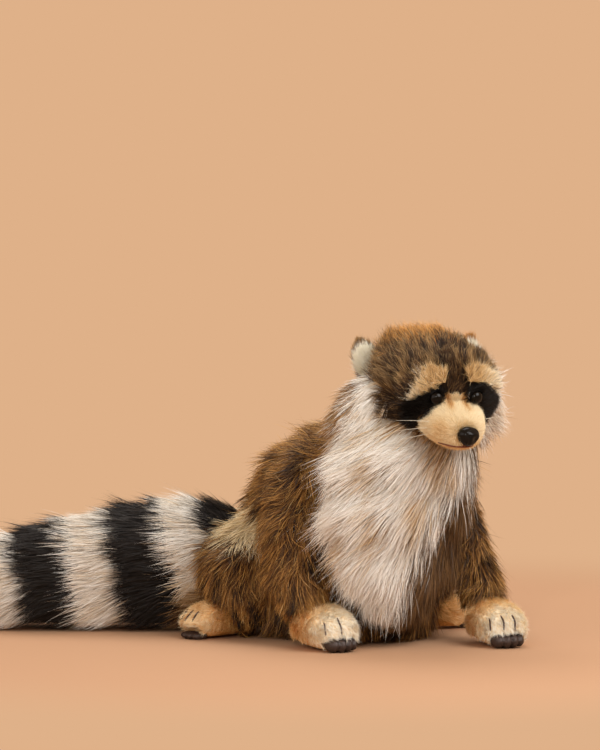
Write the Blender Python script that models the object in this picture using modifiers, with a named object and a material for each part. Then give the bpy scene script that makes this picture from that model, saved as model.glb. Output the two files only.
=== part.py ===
# Seated plush raccoon with a bushy ringed tail, real size, in metres, +Z up.
# It faces -Y. Its right side is -X, and the tail lies on the floor towards -X and +Y.
# The origin is the middle of the seat panel, on the floor.

import math

import bmesh
import bpy
import numpy as np
from mathutils import Matrix, Vector

MM = 0.001

# Fits
SEAM_GAP = 0.0003          # between two sewn pieces that touch
SHAGGY_GAP = 0.0009        # where both pieces carry long locks
PATCH_RISE = 0.0032        # short pile of the face patches above the head

# Head
HEAD_WIDTH = 0.134
HEAD_DEPTH = 0.118
HEAD_HEIGHT = 0.114
HEAD_YAW = -12.0           # degrees, turned to the raccoon's left
HEAD_PITCH = 15.0          # degrees, nose down
MUZZLE_WIDTH = 0.066
MUZZLE_HEIGHT = 0.047
MUZZLE_REACH = 0.093       # head centre to the muzzle's front
NOSE_WIDTH = 0.022
NOSE_HEIGHT = 0.020
NOSE_DEPTH = 0.016
EYE_DIAMETER = 0.0136
EYE_SPACING = 0.041
SHANK_DIAMETER = 0.004
SHANK_LENGTH = 0.014
WASHER_DIAMETER = 0.017
WASHER_THICKNESS = 0.002
EAR_WIDTH = 0.036
EAR_HEIGHT = 0.050
EAR_THICKNESS = 0.013
WHISKER_DIAMETER = 0.0009
WHISKER_LENGTH = 0.040

# Body
TORSO_WIDTH = 0.200
TORSO_LENGTH = 0.262
TORSO_HEIGHT = 0.236
TORSO_WALL = 0.013         # fabric and pile around the filling
SEAT_PANEL_WIDTH = 0.112
SEAT_PANEL_LENGTH = 0.150
SEAT_PANEL_THICKNESS = 0.002
BIB_WIDTH = 0.174
BIB_DEPTH = 0.098
ARM_WIDTH = 0.072
THIGH_WIDTH = 0.104
FRONT_PAW_WIDTH = 0.052
FRONT_PAW_LENGTH = 0.082
FRONT_PAW_HEIGHT = 0.047
HIND_PAW_WIDTH = 0.046
HIND_PAW_LENGTH = 0.078
HIND_PAW_HEIGHT = 0.040
PAD_THICKNESS = 0.010
TOE_GROOVE = 0.0030
CHEEK_TUFT_WIDTH = 0.056

# Tail
TAIL_DIAMETER = 0.128
TAIL_LENGTH = 0.375
TAIL_HEADING = 144.7       # degrees from +X, seen from above

# Depth of the hair locks
BODY_LOCK = 0.0085
LIMB_LOCK = 0.0060
HEAD_LOCK = 0.0050
EAR_LOCK = 0.0022
CHEEK_LOCK = 0.0065
BIB_LOCK = 0.0090
TAIL_LOCK = 0.0100
FULL_LOCK = 0.004          # from this depth on, a row's tips stand fully clear
LOCK_REACH = 0.86          # of a row's length, from a lock's root to its tip

HEAD_CENTRE = Vector((0.007, -0.540 * TORSO_LENGTH, TORSO_HEIGHT + 0.262 * HEAD_HEIGHT))


def clear_scene():
    for old in list(bpy.data.objects):
        bpy.data.objects.remove(old, do_unlink=True)
    for old in list(bpy.data.collections):
        bpy.data.collections.remove(old)


clear_scene()
parts = bpy.data.collections.new("plush_raccoon")
cutters = bpy.data.collections.new("seam_cutters")
bpy.context.scene.collection.children.link(parts)
bpy.context.scene.collection.children.link(cutters)


def linear(value):
    return value / 12.92 if value <= 0.04045 else ((value + 0.055) / 1.055) ** 2.4


def material(name, rgb, roughness, metallic=0.0):
    made = bpy.data.materials.new(name)
    made.use_nodes = True
    shader = made.node_tree.nodes["Principled BSDF"]
    colour = [linear(channel / 255) for channel in rgb] + [1.0]
    shader.inputs["Base Color"].default_value = colour
    shader.inputs["Roughness"].default_value = roughness
    shader.inputs["Metallic"].default_value = metallic
    made.diffuse_color = colour
    made.roughness = roughness
    return made


def finish(obj, look, parent=None, angle=50.0):
    parts.objects.link(obj)
    obj.data.materials.clear()
    obj.data.materials.append(look)
    if parent is not None:
        obj.parent = parent
    if obj.type == "MESH":
        obj.data.shade_smooth()
        obj.data.set_sharp_from_angle(angle=math.radians(angle))
    return obj


def fade(depth, start, end, ramp=0.10):
    # Depth of the locks between two places on a form, eased to nothing at both.
    def depth_at(place):
        return depth * max(0.0, min(1.0, (place - start) / ramp, (end - place) / ramp))
    return depth_at


def face_outward(bm):
    bmesh.ops.recalc_face_normals(bm, faces=bm.faces)
    if bm.calc_volume(signed=True) < 0:
        bmesh.ops.reverse_faces(bm, faces=bm.faces)
    bm.normal_update()


def smooth_stations(stations, steps):
    # Cubic curve through the stations, spaced evenly along path and girth together.
    table = np.array(stations, dtype=float)
    jumps = np.linalg.norm(np.diff(table, axis=0), axis=1)
    places = np.concatenate([[0.0], np.cumsum(jumps)])
    slopes = np.gradient(table, places, axis=0)
    wanted = np.array(steps) * places[-1]
    result = []
    for place in wanted:
        k = min(max(int(np.searchsorted(places, place)) - 1, 0), len(places) - 2)
        span = places[k + 1] - places[k]
        s = (place - places[k]) / span
        h00 = 2 * s ** 3 - 3 * s ** 2 + 1
        h10 = s ** 3 - 2 * s ** 2 + s
        h01 = 3 * s ** 2 - 2 * s ** 3
        h11 = s ** 3 - s ** 2
        row = h00 * table[k] + h10 * span * slopes[k]
        row = row + h01 * table[k + 1] + h11 * span * slopes[k + 1]
        result.append(row)
    return np.array(result)


def squared(value, power):
    return math.copysign(abs(value) ** (2.0 / power), value)


def plush_form(name, stations, around, rows, look, side=(1, 0, 0), level=None, lock=None,
               square=2.0, shape=None, parent=None, seed=1):
    # A stuffed form: a sphere's rings are laid along the stations, which are
    # (x, y, z, half width, half height). With lock, a function of the place along the
    # form, each row of hair stands out to a zigzag of tips and steps back under it.
    rng = np.random.default_rng(seed)
    if lock is None:
        steps = [(row + 1) / (rows + 1) for row in range(rows)]
    else:
        steps = []
        for row in range(rows):
            root = (row + 0.30) / rows
            share = min(1.0, lock(root) / FULL_LOCK)
            reach = 0.5 + (LOCK_REACH - 0.5) * share
            steps.append(root)
            steps.append(min(root + reach / rows, 0.97))
    ring_count = len(steps)
    jitter = rng.uniform(0.0, 1.0, (ring_count + 2, around))

    def skin(place, angle):
        # The smooth surface: rings square to the path, or level where level is set.
        here, ahead, behind = smooth_stations(
            stations, [place, min(place + 0.01, 1.0), max(place - 0.01, 0.0)])
        tangent = Vector(level) if level else Vector(ahead[:3] - behind[:3]).normalized()
        across = Vector(side)
        across = (across - across.dot(tangent) * tangent).normalized()
        upward = tangent.cross(across).normalized()
        x = max(here[3], 0.0002) * squared(math.cos(angle), square)
        y = max(here[4], 0.0002) * squared(math.sin(angle), square)
        point = Vector(here[:3]) + across * x + upward * y
        return Vector(shape(point, place, angle)) if shape else point

    def frame(place, angle):
        along = skin(min(place + 0.012, 0.999), angle) - skin(max(place - 0.012, 0.001), angle)
        aside = skin(place, angle + 0.05) - skin(place, angle - 0.05)
        along.normalize()
        return along, aside.cross(along).normalized()

    bm = bmesh.new()
    made = bmesh.ops.create_uvsphere(bm, u_segments=around, v_segments=ring_count + 1,
                                     radius=1.0)
    origin = Vector(stations[0][:3])
    for vert in made["verts"]:
        polar = math.acos(max(-1.0, min(1.0, vert.co.z)))
        ring = int(round(polar / math.pi * (ring_count + 1)))
        if ring == 0 or ring == ring_count + 1:
            vert.co = Vector(stations[0 if ring == 0 else -1][:3]) - origin
            continue
        turn = math.atan2(vert.co.y, vert.co.x) / (2 * math.pi)
        column = int(round(turn * around)) % around
        angle = 2 * math.pi * column / around
        place = steps[ring - 1]
        row, is_tip = (ring - 1) // 2, (ring - 1) % 2 == 1
        if lock is None:
            vert.co = skin(place, angle) - origin
            continue
        wobble = jitter[ring][column]
        depth = lock(place)
        stagger = 0.16 * (jitter[row][column] - 0.5) / rows
        share = min(1.0, lock(steps[2 * row]) / FULL_LOCK)
        sink = depth
        if is_tip and (column + row) % 2 == 0:
            sink = 0.25 * depth * wobble
            place = place + share * 0.08 * (wobble - 0.5) / rows
        elif is_tip:
            sink = depth * (0.40 + 0.2 * wobble)
            place = place - share * 0.34 / rows
        place = min(max(place + share * stagger, 0.01), 0.99)
        girth = min(smooth_stations(stations, [place])[0][3:5])
        along, out = frame(place, angle)
        centre = Vector(smooth_stations(stations, [place])[0][:3])
        point = skin(place, angle)
        if out.dot(point - centre) < 0:
            out = -out
        vert.co = point - out * min(sink, 0.30 * girth) - origin
    face_outward(bm)
    bmesh.ops.triangulate(bm, faces=bm.faces)
    mesh = bpy.data.meshes.new(name)
    bm.to_mesh(mesh)
    bm.free()
    obj = bpy.data.objects.new(name, mesh)
    obj.location = origin
    return finish(obj, look, parent, angle=35.0 if lock else 60.0)


def turned(name, profile, steps, look, parent=None):
    # Profile of (radius, height) pairs, listed down its outer side.
    mesh = bpy.data.meshes.new(name)
    closed = profile[0] == profile[-1]
    points = profile[:-1] if closed else profile
    edges = [(k, k + 1) for k in range(len(points) - 1)]
    if closed:
        edges.append((len(points) - 1, 0))
    mesh.from_pydata([(radius, 0.0, height) for radius, height in points], edges, [])
    obj = bpy.data.objects.new(name, mesh)
    finish(obj, look, parent)
    screw = obj.modifiers.new("turn", "SCREW")
    screw.steps = steps
    screw.render_steps = steps
    screw.use_merge_vertices = True
    screw.merge_threshold = 0.00002
    screw.use_smooth_shade = True
    return obj


grown = {}


def grown_copy(piece, gap=SEAM_GAP):
    # The piece as it stands before its own seams are cut, a seam gap bigger all round.
    key = (piece.name, gap)
    if key in grown:
        return grown[key]
    bpy.context.view_layer.update()
    graph = bpy.context.evaluated_depsgraph_get()
    seams = [m for m in piece.modifiers if m.type == "BOOLEAN" and m.operation == "DIFFERENCE"]
    for seam in seams:
        seam.show_viewport = False
    bpy.context.view_layer.update()
    graph = bpy.context.evaluated_depsgraph_get()
    mesh = bpy.data.meshes.new_from_object(piece.evaluated_get(graph))
    for seam in seams:
        seam.show_viewport = True
    bm = bmesh.new()
    bm.from_mesh(mesh)
    bmesh.ops.remove_doubles(bm, verts=bm.verts, dist=0.000001)
    bmesh.ops.triangulate(bm, faces=bm.faces)
    face_outward(bm)
    bm.normal_update()
    moves = []
    for vert in bm.verts:
        # The shift that carries every face around the point outwards by the gap.
        normals = np.array([face.normal[:] for face in vert.link_faces])
        move = np.linalg.lstsq(normals, np.full(len(normals), gap), rcond=0.08)[0]
        length = float(np.linalg.norm(move))
        moves.append(Vector(move) * min(1.0, 4.0 * gap / max(length, 1e-9)))
    for vert, move in zip(bm.verts, moves):
        vert.co += move
    bm.to_mesh(mesh)
    bm.free()
    copy = bpy.data.objects.new("cut_%s_%d" % (piece.name, round(gap * 1e5)), mesh)
    cutters.objects.link(copy)
    copy.matrix_world = piece.matrix_world.copy()
    copy.hide_render = True
    copy.display_type = "WIRE"
    grown[key] = copy
    return copy


def boolean(target, tool, operation):
    modifier = target.modifiers.new(operation.lower() + "_" + tool.name, "BOOLEAN")
    modifier.operation = operation
    modifier.solver = "EXACT"
    modifier.object = tool
    return modifier


def seam(target, *pieces, gap=SEAM_GAP):
    for piece in pieces:
        boolean(target, grown_copy(piece, gap), "DIFFERENCE")


# Looks
brown_pile = material("brown_pile", (120, 84, 56), 0.95)
head_pile = material("head_pile", (112, 88, 66), 0.95)
black_pile = material("black_pile", (38, 28, 26), 0.95)
cream_pile = material("cream_pile", (226, 196, 156), 0.95)
white_pile = material("white_pile", (226, 212, 190), 0.95)
muzzle_pile = material("muzzle_pile", (222, 184, 134), 0.95)
lining_pile = material("lining_pile", (222, 204, 176), 0.95)
leather = material("pad_leather", (58, 42, 36), 0.62)
gloss = material("gloss_black", (14, 12, 13), 0.12)
washer_look = material("washer_plastic", (236, 234, 226), 0.45)
filling = material("polyester_filling", (244, 243, 238), 0.98)
panel_look = material("seat_fabric", (92, 68, 50), 0.92)
monofilament = material("whisker_monofilament", (232, 220, 198), 0.35)

# Floor: everything that rests is cut flat here.
bpy.ops.mesh.primitive_cube_add(size=1.2, location=(0.0, 0.0, -0.6))
floor = bpy.context.object
floor.name = "cut_floor"
bpy.context.scene.collection.objects.unlink(floor)
cutters.objects.link(floor)
floor.hide_render = True
floor.display_type = "WIRE"


def rest_on_floor(*pieces):
    for piece in pieces:
        boolean(piece, floor, "DIFFERENCE")


# Torso: an egg that leans forward to the neck. Heights, shifts and half sizes are
# fractions of its height, width and length.
def torso_rings(wall=0.0, low=-0.04, high=1.02):
    table = [
        (high, 0.02, -0.450, 0.10, 0.06),
        (0.985, 0.00, -0.410, 0.44, 0.32),
        (0.930, -0.03, -0.290, 0.66, 0.62),
        (0.830, -0.05, -0.140, 0.82, 0.84),
        (0.690, -0.05, -0.060, 0.93, 0.96),
        (0.540, -0.04, -0.030, 0.97, 1.00),
        (0.340, -0.02, -0.005, 0.98, 0.98),
        (0.150, 0.00, 0.010, 0.92, 0.90),
        (0.020, 0.00, 0.020, 0.82, 0.80),
        (low, 0.00, 0.020, 0.60, 0.60),
    ]
    rings = []
    for height, shift, forward, half_width, half_length in table:
        rings.append((shift * TORSO_WIDTH / 2, forward * TORSO_LENGTH,
                      height * TORSO_HEIGHT,
                      max(half_width * TORSO_WIDTH / 2 - wall, 0.001),
                      max(half_length * TORSO_LENGTH / 2 - wall, 0.001)))
    return rings


torso = plush_form("torso", torso_rings(), 16, 7, brown_pile, side=(1, 0, 0),
                   level=(0, 0, -1), lock=fade(BODY_LOCK, 0.14, 0.84), seed=3)

seat_panel = plush_form(
    "seat_panel",
    [(0, 0, SEAT_PANEL_THICKNESS, 0.5 * SEAT_PANEL_WIDTH, 0.5 * SEAT_PANEL_LENGTH),
     (0, 0, 0, 0.5 * SEAT_PANEL_WIDTH, 0.5 * SEAT_PANEL_LENGTH)],
    20, 2, panel_look, level=(0, 0, -1))


def flatten_panel(obj):
    # Two rings only: the upper face at the panel's thickness and the lower on the floor.
    for vert in obj.data.vertices:
        height = SEAT_PANEL_THICKNESS if vert.co.z > -0.5 * SEAT_PANEL_THICKNESS else 0.0
        vert.co.z = height - SEAT_PANEL_THICKNESS


flatten_panel(seat_panel)

inner_low = SEAT_PANEL_THICKNESS + SEAM_GAP
filling_rings = []
for x, y, z, half_width, half_length in torso_rings(wall=TORSO_WALL)[2:-2]:
    sink = 1.0 - 0.75 * TORSO_WALL / (TORSO_HEIGHT / 2)
    filling_rings.append((x, y, z * sink, half_width, half_length))
top = filling_rings[0]
filling_rings[0] = (top[0], top[1], top[2] - 0.003, 0.45 * top[3], 0.40 * top[4])
filling_rings.insert(0, (top[0], top[1], top[2] - 0.001, 0.001, 0.001))
filling_rings += [
    (0, 0, inner_low + 0.012, 0.56 * SEAT_PANEL_WIDTH, 0.56 * SEAT_PANEL_LENGTH),
    (0, 0, inner_low, 0.47 * SEAT_PANEL_WIDTH, 0.47 * SEAT_PANEL_LENGTH),
]
torso_filling = plush_form("torso_filling", filling_rings, 14, 7, filling,
                           level=(0, 0, -1))

# Head: rings from the face back to the nape, in the head's own frame, nose to -Y.
head_frame = bpy.data.objects.new("head_frame", None)
parts.objects.link(head_frame)
head_frame.location = HEAD_CENTRE
head_frame.rotation_euler = (math.radians(HEAD_PITCH), 0.0, math.radians(HEAD_YAW))

HALF_W = HEAD_WIDTH / 2
HALF_D = HEAD_DEPTH / 2
HALF_H = HEAD_HEIGHT / 2


def head_rings(rise=0.0):
    rings = []
    for k in range(9):
        turn = math.pi * k / 8
        girth = max(math.sin(turn), 0.0) ** 0.94
        rings.append((0.0, -(HALF_D + rise) * math.cos(turn), 0.0,
                      max((HALF_W + rise) * girth, 0.0004),
                      max((HALF_H + rise) * girth, 0.0004)))
    return rings


head = plush_form("head", head_rings(), 18, 6, head_pile, side=(1, 0, 0),
                  level=(0, 1, 0), parent=head_frame, seed=5,
                  lock=fade(HEAD_LOCK, 0.36, 0.92))

# Muzzle: a blunt wedge with a ridge that runs up between the eyes.
MUZZLE_BASE = -0.46 * HEAD_DEPTH / 2
MUZZLE_DROP = -0.38 * HALF_H


def muzzle_ridge(point, place, angle):
    lift = max(0.0, math.sin(-angle if angle > math.pi else angle))
    upper = max(0.0, (point.z - MUZZLE_DROP) / (0.5 * MUZZLE_HEIGHT))
    narrow = max(0.0, 1.0 - abs(point.x) / (0.19 * MUZZLE_WIDTH))
    near_face = min(max((point.y + 0.80 * MUZZLE_REACH) / (0.30 * MUZZLE_REACH), 0.0), 1.0)
    point.z += 0.30 * MUZZLE_HEIGHT * narrow * upper * near_face
    chin = max(0.0, -(point.z - MUZZLE_DROP) / (0.5 * MUZZLE_HEIGHT))
    centre_dip = math.exp(-(point.x / (0.07 * MUZZLE_WIDTH)) ** 2)
    point.z += 0.05 * MUZZLE_HEIGHT * centre_dip * chin
    return point


muzzle = plush_form(
    "muzzle",
    [(0, MUZZLE_BASE + 0.004, MUZZLE_DROP, 0.010, 0.010),
     (0, MUZZLE_BASE, MUZZLE_DROP, 0.46 * MUZZLE_WIDTH, 0.45 * MUZZLE_HEIGHT),
     (0, -0.60 * MUZZLE_REACH, MUZZLE_DROP, 0.50 * MUZZLE_WIDTH, 0.49 * MUZZLE_HEIGHT),
     (0, -0.76 * MUZZLE_REACH, MUZZLE_DROP - 0.002, 0.44 * MUZZLE_WIDTH,
      0.44 * MUZZLE_HEIGHT),
     (0, -0.90 * MUZZLE_REACH, MUZZLE_DROP - 0.005, 0.32 * MUZZLE_WIDTH,
      0.34 * MUZZLE_HEIGHT),
     (0, -0.98 * MUZZLE_REACH, MUZZLE_DROP - 0.007, 0.16 * MUZZLE_WIDTH,
      0.18 * MUZZLE_HEIGHT),
     (0, -MUZZLE_REACH, MUZZLE_DROP - 0.008, 0.001, 0.001)],
    14, 7, muzzle_pile, side=(1, 0, 0), level=(0, -1, 0), square=2.2,
    shape=muzzle_ridge, parent=head_frame)

# Nose: a rounded triangle, broad on top, on a shank that a washer holds.
NOSE_SEAT = Vector((0.0, -0.965 * MUZZLE_REACH, MUZZLE_DROP - 0.0015))


def nose_shape(point, place, angle):
    below = (NOSE_SEAT.z - point.z) / (0.5 * NOSE_HEIGHT)
    point.x *= 1.0 - 0.30 * max(-0.3, below)
    return point


nose = plush_form(
    "nose",
    [(0, NOSE_SEAT.y + 0.45 * NOSE_DEPTH, NOSE_SEAT.z, 0.001, 0.001),
     (0, NOSE_SEAT.y + 0.36 * NOSE_DEPTH, NOSE_SEAT.z, 0.36 * NOSE_WIDTH,
      0.36 * NOSE_HEIGHT),
     (0, NOSE_SEAT.y + 0.05 * NOSE_DEPTH, NOSE_SEAT.z, 0.50 * NOSE_WIDTH,
      0.50 * NOSE_HEIGHT),
     (0, NOSE_SEAT.y - 0.33 * NOSE_DEPTH, NOSE_SEAT.z, 0.40 * NOSE_WIDTH,
      0.38 * NOSE_HEIGHT),
     (0, NOSE_SEAT.y - 0.55 * NOSE_DEPTH, NOSE_SEAT.z, 0.001, 0.001)],
    10, 5, gloss, side=(1, 0, 0), level=(0, -1, 0), shape=nose_shape, parent=head_frame)

bpy.ops.mesh.primitive_cylinder_add(vertices=10, radius=SHANK_DIAMETER / 2,
                                    depth=2.0 * SHANK_LENGTH)
nose_shank = bpy.context.object
nose_shank.name = "nose_shank"
bpy.context.scene.collection.objects.unlink(nose_shank)
cutters.objects.link(nose_shank)
nose_shank.parent = head_frame
nose_shank.location = NOSE_SEAT + Vector((0, SHANK_LENGTH, 0))
nose_shank.rotation_euler = (math.radians(90), 0, 0)
nose_shank.hide_render = True
nose_shank.display_type = "WIRE"
boolean(nose, nose_shank, "UNION")

washer_profile = [
    (SHANK_DIAMETER / 2 + SEAM_GAP, WASHER_THICKNESS / 2),
    (WASHER_DIAMETER / 2, WASHER_THICKNESS / 2),
    (WASHER_DIAMETER / 2, -WASHER_THICKNESS / 2),
    (SHANK_DIAMETER / 2 + SEAM_GAP, -WASHER_THICKNESS / 2),
    (SHANK_DIAMETER / 2 + SEAM_GAP, WASHER_THICKNESS / 2),
]


def lock_washer(name, place, axis):
    washer = turned(name, washer_profile, 8, washer_look, head_frame)
    washer.location = place
    washer.rotation_mode = "QUATERNION"
    washer.rotation_quaternion = Vector(axis).to_track_quat("Z", "Y")
    return washer


nose_washer = lock_washer("nose_washer", NOSE_SEAT + Vector((0, 1.45 * SHANK_LENGTH, 0)),
                          (0, -1, 0))

# Eyes: a glossy dome on a shank, square to the face, each with its own washer.
eye_profile = []
for k in range(4):
    turn = math.radians(90 - 30 * k)
    eye_profile.append((math.cos(turn) * EYE_DIAMETER / 2,
                        math.sin(turn) * 0.40 * EYE_DIAMETER))
eye_profile[0] = (0.0, 0.40 * EYE_DIAMETER)
eye_profile += [
    (EYE_DIAMETER / 2 - 0.0006, -0.0012),
    (SHANK_DIAMETER / 2, -0.0016),
    (SHANK_DIAMETER / 2, -SHANK_LENGTH),
    (0.0, -SHANK_LENGTH - 0.0006),
]


def surface_point(x, z, rise=0.0):
    a, b, c = HALF_W + rise, HALF_D + rise, HALF_H + rise
    inside = max(0.0, 1.0 - (x / a) ** 2 - (z / c) ** 2)
    return Vector((x, -b * math.sqrt(inside), z))


def surface_normal(point):
    return Vector((point.x / HALF_W ** 2, point.y / HALF_D ** 2,
                   point.z / HALF_H ** 2)).normalized()


def eye(side_name, x):
    seat = surface_point(x, 0.085 * HALF_H, PATCH_RISE)
    normal = surface_normal(seat)
    made = turned("eye_" + side_name, eye_profile, 11, gloss, head_frame)
    made.location = seat + normal * 0.0004
    made.rotation_mode = "QUATERNION"
    made.rotation_quaternion = normal.to_track_quat("Z", "Y")
    held = lock_washer("eye_washer_" + side_name, seat - normal * (0.70 * SHANK_LENGTH),
                       normal)
    return made, held


eye_right, eye_washer_right = eye("right", -EYE_SPACING / 2)
eye_left, eye_washer_left = eye("left", EYE_SPACING / 2)

# Face patches: outlines over the front of the head, (across, up) as fractions of the
# head's half width and half height. The left side mirrors the right.
MASK_OUTLINE = [(-0.20, 0.17), (-0.32, 0.27), (-0.46, 0.24), (-0.64, 0.08),
                (-0.80, -0.10), (-0.84, -0.30), (-0.72, -0.50), (-0.55, -0.60),
                (-0.44, -0.48), (-0.34, -0.26), (-0.20, 0.00)]
BROW_OUTLINE = [(-0.155, 0.50), (-0.18, 0.34), (-0.32, 0.30), (-0.47, 0.27),
                (-0.66, 0.11), (-0.80, -0.05), (-0.81, 0.10), (-0.71, 0.29),
                (-0.55, 0.46), (-0.34, 0.56)]

patch_shell = plush_form("cut_patch_shell", head_rings(PATCH_RISE), 16, 6, head_pile,
                         level=(0, 1, 0), parent=head_frame)
parts.objects.unlink(patch_shell)
cutters.objects.link(patch_shell)
patch_shell.hide_render = True
patch_shell.display_type = "WIRE"


def patch(name, outline, mirror, look):
    # The outline is swept back through the head and kept where it meets the shell.
    points = [(mirror * x * HALF_W, z * HALF_H) for x, z in outline]
    bm = bmesh.new()
    corners = [bm.verts.new((x, -1.25 * HALF_D, z)) for x, z in points]
    face = bm.faces.new(corners)
    swept = bmesh.ops.extrude_face_region(bm, geom=[face])
    for item in swept["geom"]:
        if isinstance(item, bmesh.types.BMVert):
            item.co.y = -0.10 * HALF_D
    face_outward(bm)
    bmesh.ops.triangulate(bm, faces=bm.faces)
    mesh = bpy.data.meshes.new(name)
    bm.to_mesh(mesh)
    bm.free()
    obj = bpy.data.objects.new(name, mesh)
    finish(obj, look, head_frame)
    boolean(obj, patch_shell, "INTERSECT")
    return obj


mask_right = patch("mask_patch_right", MASK_OUTLINE, 1, black_pile)
mask_left = patch("mask_patch_left", MASK_OUTLINE, -1, black_pile)
brow_right = patch("brow_patch_right", BROW_OUTLINE, 1, cream_pile)
brow_left = patch("brow_patch_left", BROW_OUTLINE, -1, cream_pile)


# Ears: a cupped oval with a pale lining, low on the sides of the head.
def ear(side_name, side_sign):
    frame = bpy.data.objects.new("ear_frame_" + side_name, None)
    parts.objects.link(frame)
    frame.parent = head_frame
    frame.location = (side_sign * 0.71 * HALF_W, 0.78 * HALF_D, -0.16 * HALF_H)
    frame.rotation_euler = (math.radians(-4), math.radians(side_sign * 22),
                            math.radians(side_sign * 10))
    outer = plush_form(
        "ear_" + side_name,
        [(0, 0, -0.16 * EAR_HEIGHT, 0.001, 0.001),
         (0, 0, -0.10 * EAR_HEIGHT, 0.34 * EAR_WIDTH, 0.40 * EAR_THICKNESS),
         (0, 0, 0.16 * EAR_HEIGHT, 0.47 * EAR_WIDTH, 0.50 * EAR_THICKNESS),
         (0, 0, 0.42 * EAR_HEIGHT, 0.49 * EAR_WIDTH, 0.46 * EAR_THICKNESS),
         (0, 0, 0.66 * EAR_HEIGHT, 0.36 * EAR_WIDTH, 0.36 * EAR_THICKNESS),
         (0, 0, 0.84 * EAR_HEIGHT, 0.001, 0.001)],
        10, 3, brown_pile, level=(0, 0, 1), parent=frame, seed=11,
        lock=fade(EAR_LOCK, 0.2, 0.95))
    lining = plush_form(
        "ear_lining_" + side_name,
        [(0, -0.52 * EAR_THICKNESS, 0.00 * EAR_HEIGHT, 0.001, 0.001),
         (0, -0.50 * EAR_THICKNESS, 0.06 * EAR_HEIGHT, 0.24 * EAR_WIDTH,
          0.22 * EAR_THICKNESS),
         (0, -0.46 * EAR_THICKNESS, 0.30 * EAR_HEIGHT, 0.36 * EAR_WIDTH,
          0.28 * EAR_THICKNESS),
         (0, -0.40 * EAR_THICKNESS, 0.54 * EAR_HEIGHT, 0.25 * EAR_WIDTH,
          0.22 * EAR_THICKNESS),
         (0, -0.36 * EAR_THICKNESS, 0.66 * EAR_HEIGHT, 0.001, 0.001)],
        12, 4, lining_pile, level=(0, 0, 1), parent=frame)
    return outer, lining


ear_right, lining_right = ear("right", -1)
ear_left, lining_left = ear("left", 1)


# Cheek tufts: long hair that leaves the cheeks and falls on the shoulders.
def path_form(name, path, width, around, rows, look, lock=None, side=(1, 0, 0), seed=1,
              square=2.0, level=None, parent=None, height=1.0, shape=None, start=Vector()):
    # Path points are (x, y, z) in millimetres from the start, with the girth as a fraction
    # of the width.
    stations = [(start.x + x * MM, start.y + y * MM, start.z + z * MM,
                 max(girth * width / 2, 0.0004),
                 max(girth * width * height / 2, 0.0004)) for x, y, z, girth in path]
    return plush_form(name, stations, around, rows, look, side=side, level=level, lock=lock,
                      square=square, parent=parent, seed=seed, shape=shape)


cheek_right = path_form(
    "cheek_tuft_right",
    [(-50, 17, 15, 0.02), (-55, 18, 7, 0.52), (-64, 20, -8, 0.94),
     (-74, 23, -26, 1.12), (-86, 27, -48, 0.92), (-99, 29, -70, 0.02)],
    CHEEK_TUFT_WIDTH, 12, 3, white_pile, side=(0, 1, 0), seed=21,
    lock=fade(CHEEK_LOCK, 0.12, 0.95), start=HEAD_CENTRE)
cheek_left = path_form(
    "cheek_tuft_left",
    [(51, 4, 22, 0.02), (54, 4, 16, 0.50), (60, 5, 2, 0.84),
     (65, 8, -19, 1.02), (67, 12, -45, 0.84), (67, 16, -70, 0.02)],
    CHEEK_TUFT_WIDTH, 12, 3, white_pile, side=(0, 1, 0), seed=23,
    lock=fade(CHEEK_LOCK, 0.12, 0.95), start=HEAD_CENTRE)


# Whiskers: thin tapered monofilaments, rooted in the muzzle's cheeks.
def whisker(name, side_sign, row):
    root = Vector((side_sign * 0.40 * MUZZLE_WIDTH, -0.72 * MUZZLE_REACH,
                   MUZZLE_DROP + (0.004 - 0.006 * row)))
    heading = Vector((side_sign * 0.90, 0.16 + 0.10 * row, 0.10 - 0.17 * row)).normalized()
    curve = bpy.data.curves.new(name, "CURVE")
    curve.dimensions = "3D"
    curve.bevel_depth = WHISKER_DIAMETER / 2
    curve.bevel_resolution = 0
    curve.use_fill_caps = True
    spline = curve.splines.new("POLY")
    spline.points.add(3)
    for k, point in enumerate(spline.points):
        along = k / 3
        droop = -0.10 * WHISKER_LENGTH * along ** 2
        place = heading * (WHISKER_LENGTH * along) + Vector((0, 0, droop))
        point.co = (place.x, place.y, place.z, 1.0)
        point.radius = 1.0 - 0.55 * along
    obj = bpy.data.objects.new(name, curve)
    parts.objects.link(obj)
    obj.parent = head_frame
    obj.location = root
    bpy.context.view_layer.update()
    graph = bpy.context.evaluated_depsgraph_get()
    mesh = bpy.data.meshes.new_from_object(obj.evaluated_get(graph))
    bm = bmesh.new()
    bm.from_mesh(mesh)
    bmesh.ops.remove_doubles(bm, verts=bm.verts, dist=0.00002)
    face_outward(bm)
    bmesh.ops.triangulate(bm, faces=bm.faces)
    bm.to_mesh(mesh)
    bm.free()
    world = obj.matrix_world.copy()
    bpy.data.objects.remove(obj, do_unlink=True)
    solid = bpy.data.objects.new(name, mesh)
    finish(solid, monofilament)
    solid.matrix_world = world
    return solid


whiskers_right = [whisker("whisker_right_%d" % (k + 1), -1, k) for k in range(3)]
whiskers_left = [whisker("whisker_left_%d" % (k + 1), 1, k) for k in range(3)]

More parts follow.
